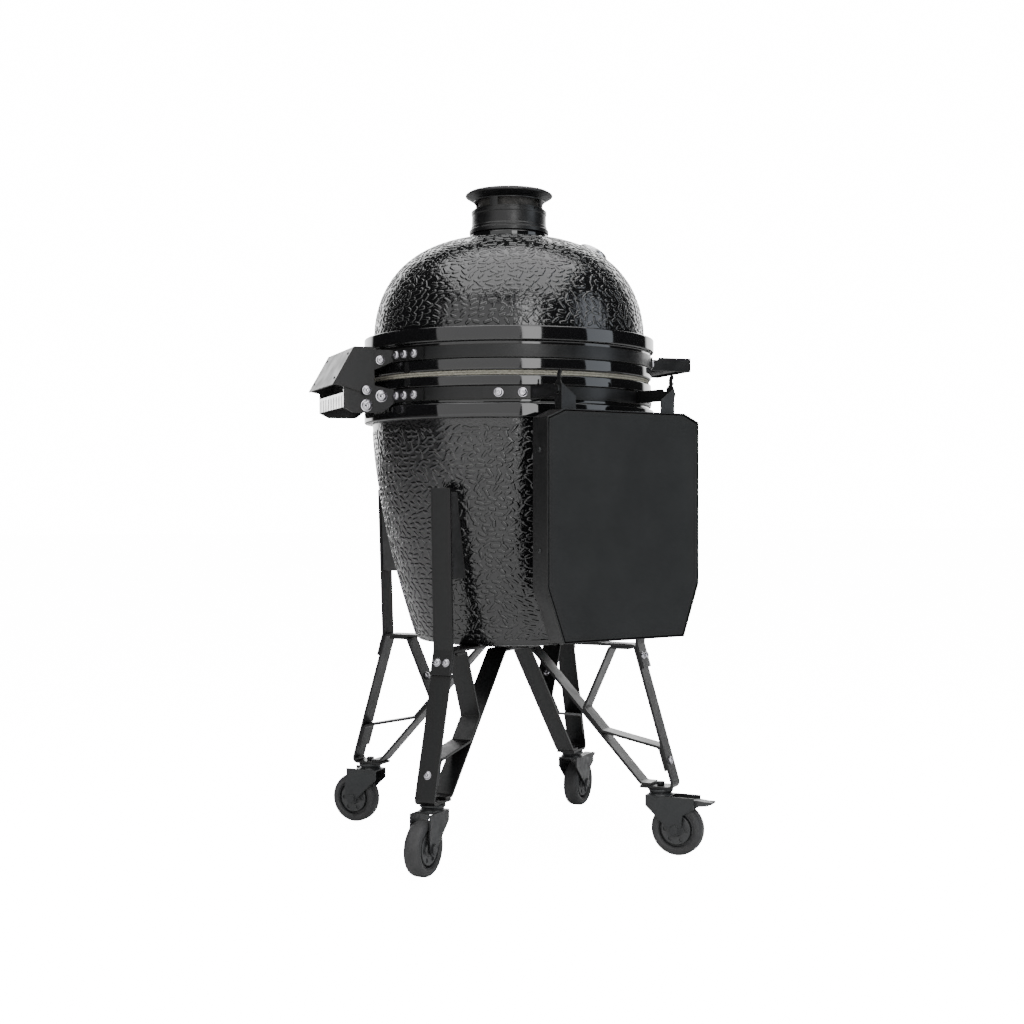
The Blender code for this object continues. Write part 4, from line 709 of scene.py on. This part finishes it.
# ---- top vent and thermometer -----------------------------------------------------------------
class GRILL_OT_vent(bpy.types.Operator):
    """Makes the cast vent body with its index notches and the turning cap"""

    bl_idname = "grill.vent"
    bl_label = "Top vent"

    def execute(self, context):
        low, high, _ = span("vent_body")
        foot = (high.x - low.x) / 2
        z, top = low.z, high.z
        body = [(0.056, z), (foot, z), (foot, z + 0.0075), (foot - 0.0020, z + 0.0092), (0.0752, z + 0.0100),
                (0.0752, z + 0.0140), (0.0740, z + 0.0155), (0.0735, top - 0.009), (0.0745, top - 0.0075),
                (0.0745, top), (0.0705, top), (0.0705, z + 0.0043), (0.056, z + 0.0043), (0.056, z)]
        casting = turned("vent_casting", rounded(body, 0.0011, 3), 96)
        notches = []
        for i in range(8):
            turn = Matrix.Translation(AXIS) @ Matrix.Rotation(radians(22.5 + 45.0 * i), 4, "Z")
            notch = block("notch", (0.060, -0.0022, top - 0.0035), (0.085, 0.0022, top + 0.01), 0.0)
            notch.data.transform(turn)
            notches.append(notch)
        cut_with(casting, notches)
        settle(casting, "vent", "lid", ("vent_body",))
        low, high, _ = span("vent_cap")
        rim, crown = (high.x - low.x) / 2, high.z
        brim = top + 0.020
        tube = 0.0700
        cap = [(0.0, crown - 0.0012), (rim - 0.022, crown - 0.0012), (rim - 0.020, crown),
               (rim - 0.006, crown - 0.0012), (rim, crown - 0.0055), (rim, crown - 0.0085),
               (rim - 0.0030, crown - 0.0105), (tube + 0.0040, brim + 0.0020), (tube, brim), (tube, low.z),
               (tube - 0.0030, low.z), (tube - 0.0030, brim + 0.0040), (0.0, brim + 0.0060)]
        lid = turned("vent_cap_casting", rounded(cap, 0.0016, 3), 96)
        windows = []
        for i in range(2):
            low_z, high_z = top + 0.003, brim - 0.002
            window = block("window", (-0.1, -0.0430, low_z), (0.1, 0.0430, high_z), 0.0)
            window.data.transform(Matrix.Translation(AXIS) @ Matrix.Rotation(pi / 2 * i, 4, "Z"))
            windows.append(window)
        cut_with(lid, windows)
        settle(lid, "vent", "vent_cap", ("vent_cap",))
        sleeve = [(0.0590, low.z + 0.002), (0.0605, low.z + 0.002), (0.0605, brim + 0.0045),
                  (0.0590, brim + 0.0045),
                  (0.0590, low.z + 0.002)]
        damper = turned("vent_damper", rounded(sleeve, 0.0005, 2), 96)
        settle(damper, "iron", "vent_cap")
        return {"FINISHED"}


class GRILL_OT_thermometer(bpy.types.Operator):
    """Makes the lid thermometer: case, bezel, dial with its marks, needle and glass"""

    bl_idname = "grill.thermometer"
    bl_label = "Thermometer"

    def execute(self, context):
        joint = next(j for j in frame["joints"] if j["name"] == "needle_turn")
        seat, normal = Vector(joint["pos_m"]), Vector(joint["axis"])
        turn = normal.to_track_quat("Z", "X").to_matrix().to_4x4()
        back, face, radius, recess = 0.004, 0.020, 0.031, 0.007
        case = [(0.0, face - recess), (radius - 0.005, face - recess), (radius - 0.005, face - 0.0005),
                (radius - 0.0015, face), (radius, face - 0.004), (radius, back + 0.003),
                (radius - 0.002, back),
                (0.011, back), (0.011, 0.0012), (0.0035, 0.0012), (0.0035, -0.075), (0.0, -0.077)]
        shell = turned("thermometer_shell", rounded(case, 0.0010, 3), 64, seat, turn)
        settle(shell, "steel", "lid", ("thermometer_case",))
        dial = turned("thermometer_dial",
                      [(0.0, face - recess + 0.0002), (radius - 0.0052, face - recess + 0.0002),
                       (radius - 0.0052, face - recess + 0.0007), (0.0, face - recess + 0.0007)],
                      64, seat, turn)
        settle(dial, "dial", "lid")
        marks = []
        for i in range(31):
            long = i % 5 == 0
            mark = block("mark",
                         (-0.00025 - 0.00015 * long, radius - 0.0105 - 0.002 * long, face - recess + 0.0006),
                         (0.00025 + 0.00015 * long, radius - 0.0070, face - recess + 0.0009), 0.0)
            spin = Matrix.Rotation(radians(-135 + 9 * i), 4, "Z")
            mark.data.transform(Matrix.Translation(seat) @ turn @ spin)
            marks.append(mark)
        settle(joined("dial_marks", marks), "print", "lid")
        dressed("thermometer_needle", "needle", "needle", 0.0003, 1)
        glass = turned("thermometer_glass", [(0.0, face - 0.0024), (radius - 0.0052, face - 0.0024),
                                             (radius - 0.0052, face - 0.0010),
                                             (0.0, face - 0.0004)], 64, seat, turn)
        settle(glass, "glass", "lid")
        return {"FINISHED"}


# ---- hinge, handle and shelf ----------------------------------------------------------------------
class GRILL_OT_hinge(bpy.types.Operator):
    """Dresses the hinge's brackets and cover and adds its bolts and rivets"""

    bl_idname = "grill.hinge"
    bl_label = "Lid hinge"

    def execute(self, context):
        sizes = context.scene.grill_sizes
        edge = sizes.sheet_edge
        lower = bevelled(from_cad("hinge_lower_sheet", "hinge_lower_bracket"), edge)
        back = span("hinge_lower_bracket")[1].y
        for face in lower.data.polygons:
            behind = face.center.y > back - 0.0035 and abs(face.center.x - AXIS.x) < 0.0995
            face.material_index = 1 if behind else 0
        evened(settle(lower, ("coat", "plate"), "base", ("hinge_lower_bracket",)))
        dressed("hinge_upper_bracket", "coat", "lid", edge)
        dressed("hinge_cover", "coat", "lid", edge * 1.4, 3)
        model = bolt_model(sizes.bolt_radius)
        wide = bolt_model(sizes.bolt_radius * 1.32)
        for cad, body in (("base_band", "base"), ("lid_band", "lid")):
            middle = span(cad)[2].z
            places = [(around(BAND_RADIUS + FLANGE, 90 + side * turn, middle), outward(90 + side * turn))
                      for side in (-1, 1) for turn in (22.9, 27.4, 32.4)]
            bolts(f"{cad}_hinge_bolts", model, places, body)
        y, z = AXIS.y + HINGE_Y, HINGE_Z
        sides = [(-1, AXIS.x - 0.1040), (1, AXIS.x + 0.1040)]
        places = [on_node("hinge_lower_bracket", Vector((x + side * 0.02, y + out, z + up)),
                          Vector((-side, 0, 0)))
                  for side, x in sides for out, up in ((-0.0310, -0.0095), (-0.0028, -0.0275))]
        bolts("hinge_pins", wide, places, "base")
        places = [(Vector((AXIS.x + side * 0.1004, y - 0.0296, z + 0.0577)), (side, 0, 0))
                  for side in (-1, 1)]
        bolts("hinge_arm_bolts", model, places, "lid")
        places = [(Vector((AXIS.x + side * 0.1159, y, z)), (side, 0, 0)) for side in (-1, 1)]
        bolts("hinge_rod_bolts", model, places, "base")
        slope = Vector((0, 0.040, -0.071)).normalized()
        out = Vector((0, 0.071, 0.040)).normalized()
        top = Vector((AXIS.x, AXIS.y + 0.341, LID_BAND[1].z + 0.0018))
        small = bolt_model(0.0024)
        places = [(top + slope * s + Vector((x, 0, 0)), out) for x in (-0.088, 0.088) for s in (0.014, 0.066)]
        bolts("cover_rivets", small, places, "lid", look="coat")
        for obj in (model, wide, small):
            bpy.data.objects.remove(obj)
        return {"FINISHED"}


class GRILL_OT_handle(bpy.types.Operator):
    """Dresses the handle's sheet and its grip and adds the bolts"""

    bl_idname = "grill.handle"
    bl_label = "Handle"

    def execute(self, context):
        sizes = context.scene.grill_sizes
        dressed("handle_bracket", "coat", "lid", sizes.sheet_edge * 1.3, 3)
        low, high, middle = span("handle_bar")
        ends = (low.x, high.x)
        radius = (high.z - low.z) / 2
        grip = [(0.0, ends[0]), (radius * 0.82, ends[0]), (radius, ends[0] + 0.006),
                (radius, ends[1] - 0.006),
                (radius * 0.82, ends[1]), (0.0, ends[1])]
        grooves = []
        for i in range(9):
            at = middle.x + (i - 4) * 0.012
            grooves += [(radius, at - 0.0014), (radius - 0.0007, at), (radius, at + 0.0014)]
        profile = grip[:3] + grooves + grip[3:]
        bar = turned("handle_grip", rounded(profile, 0.0012, 2), 40, (0, middle.y, middle.z),
                     Matrix.Rotation(pi / 2, 4, "Y"))
        settle(bar, "grip", "lid", ("handle_bar",))
        model = bolt_model(sizes.bolt_radius * 0.9)
        band = span("lid_band")[2].z
        places = [(around(BAND_RADIUS + FLANGE, -90 + side * 21.0, band + 0.0006), outward(-90 + side * 21.0))
                  for side in (-1, 1)]
        bolts("handle_bolts", model, places, "lid")
        bpy.data.objects.remove(model)
        return {"FINISHED"}


class GRILL_OT_shelf(bpy.types.Operator):
    """Dresses the folding shelf, its arms and the brackets it hangs on"""

    bl_idname = "grill.shelf"
    bl_label = "Side shelf"

    def execute(self, context):
        sizes = context.scene.grill_sizes
        edge = sizes.sheet_edge
        dressed("shelf_tray", "coat", "shelf", edge * 1.3, 3)
        dressed("shelf_panel", "panel", "shelf", 0.0016, 3)
        for side in ("rear", "front"):
            dressed(f"shelf_arm_{side}", "coat", "shelf", edge)
            dressed(f"shelf_bracket_{side}", "coat", "base", edge)
        turn = Matrix.Translation(AXIS) @ Matrix.Rotation(SHELF_TURN, 4, "Z")
        direction = turn.to_3x3()
        model = bolt_model(sizes.bolt_radius)
        small = bolt_model(0.0042)
        joint = next(j for j in frame["joints"] if j["name"] == "shelf_fold")
        pivot = turn.inverted() @ Vector(joint["pos_m"])
        places = [(turn @ Vector((pivot.x, side * 0.1286, pivot.z)), direction @ Vector((0, side, 0)))
                  for side in (-1, 1)]
        bolts("shelf_pivot_bolts", model, places, "shelf", look="zinc")
        half = 0.1705
        places = [(turn @ Vector((0.3500, side * half, z)), direction @ Vector((0, side, 0)))
                  for side in (-1, 1) for z in (0.755, 0.580)]
        bolts("tray_rivets", small, places, "shelf", look="zinc")
        middle = span("base_band")[2].z
        places = [(around(BAND_RADIUS + FLANGE, SHELF_SIDE + side * a, middle),
                   outward(SHELF_SIDE + side * a))
                  for side in (-1, 1) for a in (28.8, 37.6)]
        bolts("shelf_band_bolts", model, places, "base")
        for obj in (model, small):
            bpy.data.objects.remove(obj)
        return {"FINISHED"}


# ---- stand and casters --------------------------------------------------------------------------------
class GRILL_OT_stand(bpy.types.Operator):
    """Dresses the legs, posts and braces and adds their bolts"""

    bl_idname = "grill.stand"
    bl_label = "Stand"

    def execute(self, context):
        sizes = context.scene.grill_sizes
        edge = sizes.sheet_edge * 1.3
        names = ["hub_plate", "inner_bars_a", "inner_bars_b"]
        names += [f"{kind}_{leg}" for leg in LEGS for kind in ("leg_bar", "post", "brace")]
        for name in names:
            dressed(name, "coat", "base", edge)
        for leg in LEGS:
            dressed(f"bowl_pad_{leg}", "rubber", "base", 0.0012)
        model = bolt_model(sizes.bolt_radius * 0.92)
        for index, leg in enumerate(LEGS):
            turn = 45.0 + 90.0 * index
            out, across = outward(turn), outward(turn + 90)
            places = [on_node(f"post_{leg}", around(0.5, turn, 0.3730) + across * side * 0.0090, -out)
                      for side in (-1, 1)]
            places.append(on_node(f"leg_bar_{leg}", around(0.5, turn, 0.1770), -out))
            places.append(on_node(f"brace_{leg}", around(0.1850, turn, 0.32), Vector((0, 0, -1))))
            bolts(f"leg_bolts_{leg}", model, places, "base")
        bpy.data.objects.remove(model)
        return {"FINISHED"}


def wheel_parts(name, place, lean):
    """A tyre and a wheel centre with petal-shaped hollows, turned round an axle."""
    radius, half = 0.050, 0.016
    tread = [(0.0346, -half + 0.0020), (0.0385, -half), (0.0455, -half + 0.0004), (0.0488, -half + 0.0044),
             (radius, -half + 0.0090), (radius, half - 0.0090), (0.0488, half - 0.0044),
             (0.0455, half - 0.0004),
             (0.0385, half), (0.0346, half - 0.0020), (0.0346, -half + 0.0020)]
    tyre = turned(f"tyre_{name}", rounded(tread, 0.0026, 3), 64, place, lean)
    face = [(0.0066, 0.0010), (0.0120, 0.0010), (0.0140, 0.0042), (0.0278, 0.0026), (0.0290, 0.0036),
            (0.0290, 0.0110),
            (0.0332, 0.0110), (0.0332, 0.0026), (0.0344, 0.0026)]
    disc = [(r, d - half) for r, d in face] + [(r, half - d) for r, d in face[::-1]]
    centre = turned(f"wheel_centre_{name}", rounded(disc + [disc[0]], 0.0008, 2), 48, place, lean)
    cutters = []
    for side in (-1, 1):
        for i in range(6):
            spot = Matrix.Rotation(pi / 3 * i, 4, "Z") @ Vector((0.0212, 0, side * half))
            cutters.append(rod("petal", spot - Vector((0, 0, side * 0.0052)),
                               spot + Vector((0, 0, side * 0.006)),
                               0.0042, 0.0, 16))
    petals = joined("petals", cutters)
    petals.data.transform(Matrix.Translation(place) @ lean)
    cut_with(centre, [petals])
    return tyre, centre


class GRILL_OT_casters(bpy.types.Operator):
    """Makes the four casters: ball race, fork, tyre, wheel centre and brake pedal"""

    bl_idname = "grill.casters"
    bl_label = "Casters"

    def execute(self, context):
        edge = context.scene.grill_sizes.sheet_edge
        for index, leg in enumerate(LEGS):
            turn = 45.0 + 90.0 * index
            low, high, middle = span(f"caster_stem_{leg}")
            race = [(0.0, high.z), (0.0235, high.z), (0.0240, high.z - 0.0030), (0.0222, high.z - 0.0058),
                    (0.0200, high.z - 0.0075), (0.0222, high.z - 0.0092), (0.0240, high.z - 0.0118),
                    (0.0212, high.z - 0.0162), (0.0050, high.z - 0.0162), (0.0050, low.z + 0.0028),
                    (0.0090, low.z + 0.0028), (0.0090, low.z), (0.0, low.z)]
            piece = turned(f"ball_race_{leg}", rounded(race, 0.0009, 3), 48, (middle.x, middle.y, 0))
            settle(piece, "zinc", "base", (f"caster_stem_{leg}",))
            dressed(f"caster_fork_{leg}", "zinc", f"swivel_{leg}", edge * 1.2, 3)
            joint = next(j for j in frame["joints"] if j["name"] == f"roll_{leg}")
            lean = Vector(joint["axis"]).to_track_quat("Z", "Y").to_matrix().to_4x4()
            tyre, centre = wheel_parts(leg, Vector(joint["pos_m"]), lean)
            settle(tyre, "rubber", f"wheel_{leg}", (f"caster_wheel_{leg}",))
            settle(centre, "nylon", f"wheel_{leg}")
            stem = around(0.3187, turn, high.z + 0.0055)
            nut = rod(f"caster_nut_{leg}", stem, stem + Vector((0, 0, 0.0065)), 0.0082, 0.0008, 6)
            settle(nut, "zinc", "base")
            if leg.startswith("front"):
                dressed(f"brake_pedal_{leg}", "nylon", f"pedal_{leg}", 0.0010, 3)
        return {"FINISHED"}


# ---- stage -----------------------------------------------------------------------------------------------
CAMERA_SIDE = 160.5                  # degrees round the axis
CAMERA_DISTANCE = 2.976
EYE_HEIGHT = 0.663
LENS = 52.664                        # millimetres on a 36 mm sensor
SHIFT = (0.00293, -0.00889)
PAPER_GLOW = 15.0                    # what the camera alone sees of the floor's light
SKY_GLOW = 16.0


def area_light(name, place, target, width, height, power, color=(1.0, 1.0, 1.0)):
    data = bpy.data.lights.new(name, "AREA")
    data.shape = "RECTANGLE"
    data.size, data.size_y = width, height
    data.energy = power
    data.color = color
    obj = bpy.data.objects.new(name, data)
    bpy.context.scene.collection.objects.link(obj)
    obj.location = place
    obj.rotation_euler = (Vector(target) - Vector(place)).to_track_quat("-Z", "Y").to_euler()
    return obj


def seen_from(azimuth, distance, height):
    """A point round the grill, at an angle from the camera's side, positive towards the picture's right."""
    turn = radians(CAMERA_SIDE + azimuth)
    return AXIS + Vector((distance * cos(turn), distance * sin(turn), height))


class GRILL_OT_studio(bpy.types.Operator):
    """Lays the pale floor and sets the soft lights and the camera"""

    bl_idname = "grill.studio"
    bl_label = "Studio"

    def execute(self, context):
        deselect()
        bpy.ops.mesh.primitive_plane_add(size=60.0, location=(0.0, 0.0, 0.0))
        floor = bpy.context.object
        floor.name = "studio_floor"
        paper, tree, shader, place = surface("lit_paper", linear("#e8e8e8"), 0.95)
        mottled(tree, shader, place, 3.0, linear("#e6e6e6"), linear("#eaeaea"))
        shader.inputs["Emission Color"].default_value = (1.0, 1.0, 1.0, 1.0)
        seen = node(tree, "ShaderNodeLightPath").outputs["Is Camera Ray"]
        glow = node(tree, "ShaderNodeMath", {0: seen}, operation="MULTIPLY")
        glow.inputs[1].default_value = PAPER_GLOW
        tree.links.new(glow.outputs["Value"], shader.inputs["Emission Strength"])
        floor.data.materials.append(paper)
        world = bpy.data.worlds.new("studio_light")
        context.scene.world = world
        world.use_nodes = True
        tree = world.node_tree
        back = tree.nodes["Background"]
        ray = node(tree, "ShaderNodeLightPath")
        direction = node(tree, "ShaderNodeTexCoord").outputs["Generated"]
        away = -outward(CAMERA_SIDE)
        dot = node(tree, "ShaderNodeVectorMath", {0: direction}, operation="DOT_PRODUCT")
        dot.inputs[1].default_value = away
        shade = node(tree, "ShaderNodeMapRange", {"Value": dot.outputs["Value"]}, **{
            "From Min": 0.70, "From Max": 0.77, "To Min": 0.03, "To Max": 4.0})
        level = node(tree, "ShaderNodeMix", {"Factor": ray.outputs["Is Camera Ray"]}, data_type="FLOAT")
        tree.links.new(shade.outputs["Result"], level.inputs["A"])
        level.inputs["B"].default_value = SKY_GLOW
        tree.links.new(level.outputs["Result"], back.inputs["Strength"])
        back.inputs["Color"].default_value = (1.0, 1.0, 1.0, 1.0)
        aim = AXIS + Vector((0, 0, 0.75))
        area_light("key_box", seen_from(-23.4, 3.4, 1.45), aim, 4.3, 2.9, 72.0)
        area_light("key_edge", seen_from(16.6, 3.4, 1.45), aim, 0.86, 2.9, 56.0)
        area_light("side_strip", seen_from(72.0, 3.0, 1.3), aim, 1.3, 2.6, 29.0, (0.86, 0.92, 1.0))
        area_light("top_box", seen_from(0.0, 0.9, 4.0), aim, 5.2, 4.4, 330.0)
        data = bpy.data.cameras.new("studio_camera")
        camera = bpy.data.objects.new("studio_camera", data)
        context.scene.collection.objects.link(camera)
        data.sensor_width = 36.0
        data.lens = LENS
        data.shift_x, data.shift_y = SHIFT
        camera.location = seen_from(0.0, CAMERA_DISTANCE, EYE_HEIGHT)
        camera.rotation_euler = (-outward(CAMERA_SIDE)).to_track_quat("-Z", "Y").to_euler()
        context.scene.camera = camera
        return {"FINISHED"}


class GRILL_PT_panel(bpy.types.Panel):
    """Lists the steps that build the grill"""

    bl_idname = "GRILL_PT_panel"
    bl_label = "Kamado Grill"
    bl_space_type = "VIEW_3D"
    bl_region_type = "UI"
    bl_category = "Grill"

    def draw(self, context):
        for group in (context.scene.grill_sizes, context.scene.grill_colors):
            for key in group.__annotations__:
                self.layout.prop(group, key)
        for step in STEPS:
            self.layout.operator(step.bl_idname)


STEPS = (GRILL_OT_ceramics, GRILL_OT_bands, GRILL_OT_fire_box, GRILL_OT_draft, GRILL_OT_vent,
         GRILL_OT_thermometer,
         GRILL_OT_hinge, GRILL_OT_handle, GRILL_OT_shelf, GRILL_OT_stand, GRILL_OT_casters, GRILL_OT_studio)
CLASSES = (GrillSizes, GrillColors, *STEPS, GRILL_PT_panel)


def register():
    for each in CLASSES:
        bpy.utils.register_class(each)
    bpy.types.Scene.grill_sizes = PointerProperty(type=GrillSizes)
    bpy.types.Scene.grill_colors = PointerProperty(type=GrillColors)


def unregister():
    del bpy.types.Scene.grill_colors
    del bpy.types.Scene.grill_sizes
    for each in reversed(CLASSES):
        bpy.utils.unregister_class(each)


def main():
    """Builds every piece in order."""
    register()
    LOOKS.update(make_looks(bpy.context.scene.grill_colors))
    bpy.ops.grill.ceramics()
    bpy.ops.grill.bands()
    bpy.ops.grill.fire_box()
    bpy.ops.grill.draft()
    bpy.ops.grill.vent()
    bpy.ops.grill.thermometer()
    bpy.ops.grill.hinge()
    bpy.ops.grill.handle()
    bpy.ops.grill.shelf()
    bpy.ops.grill.stand()
    bpy.ops.grill.casters()
    bpy.ops.grill.studio()


if __name__ == "__main__":
    main()
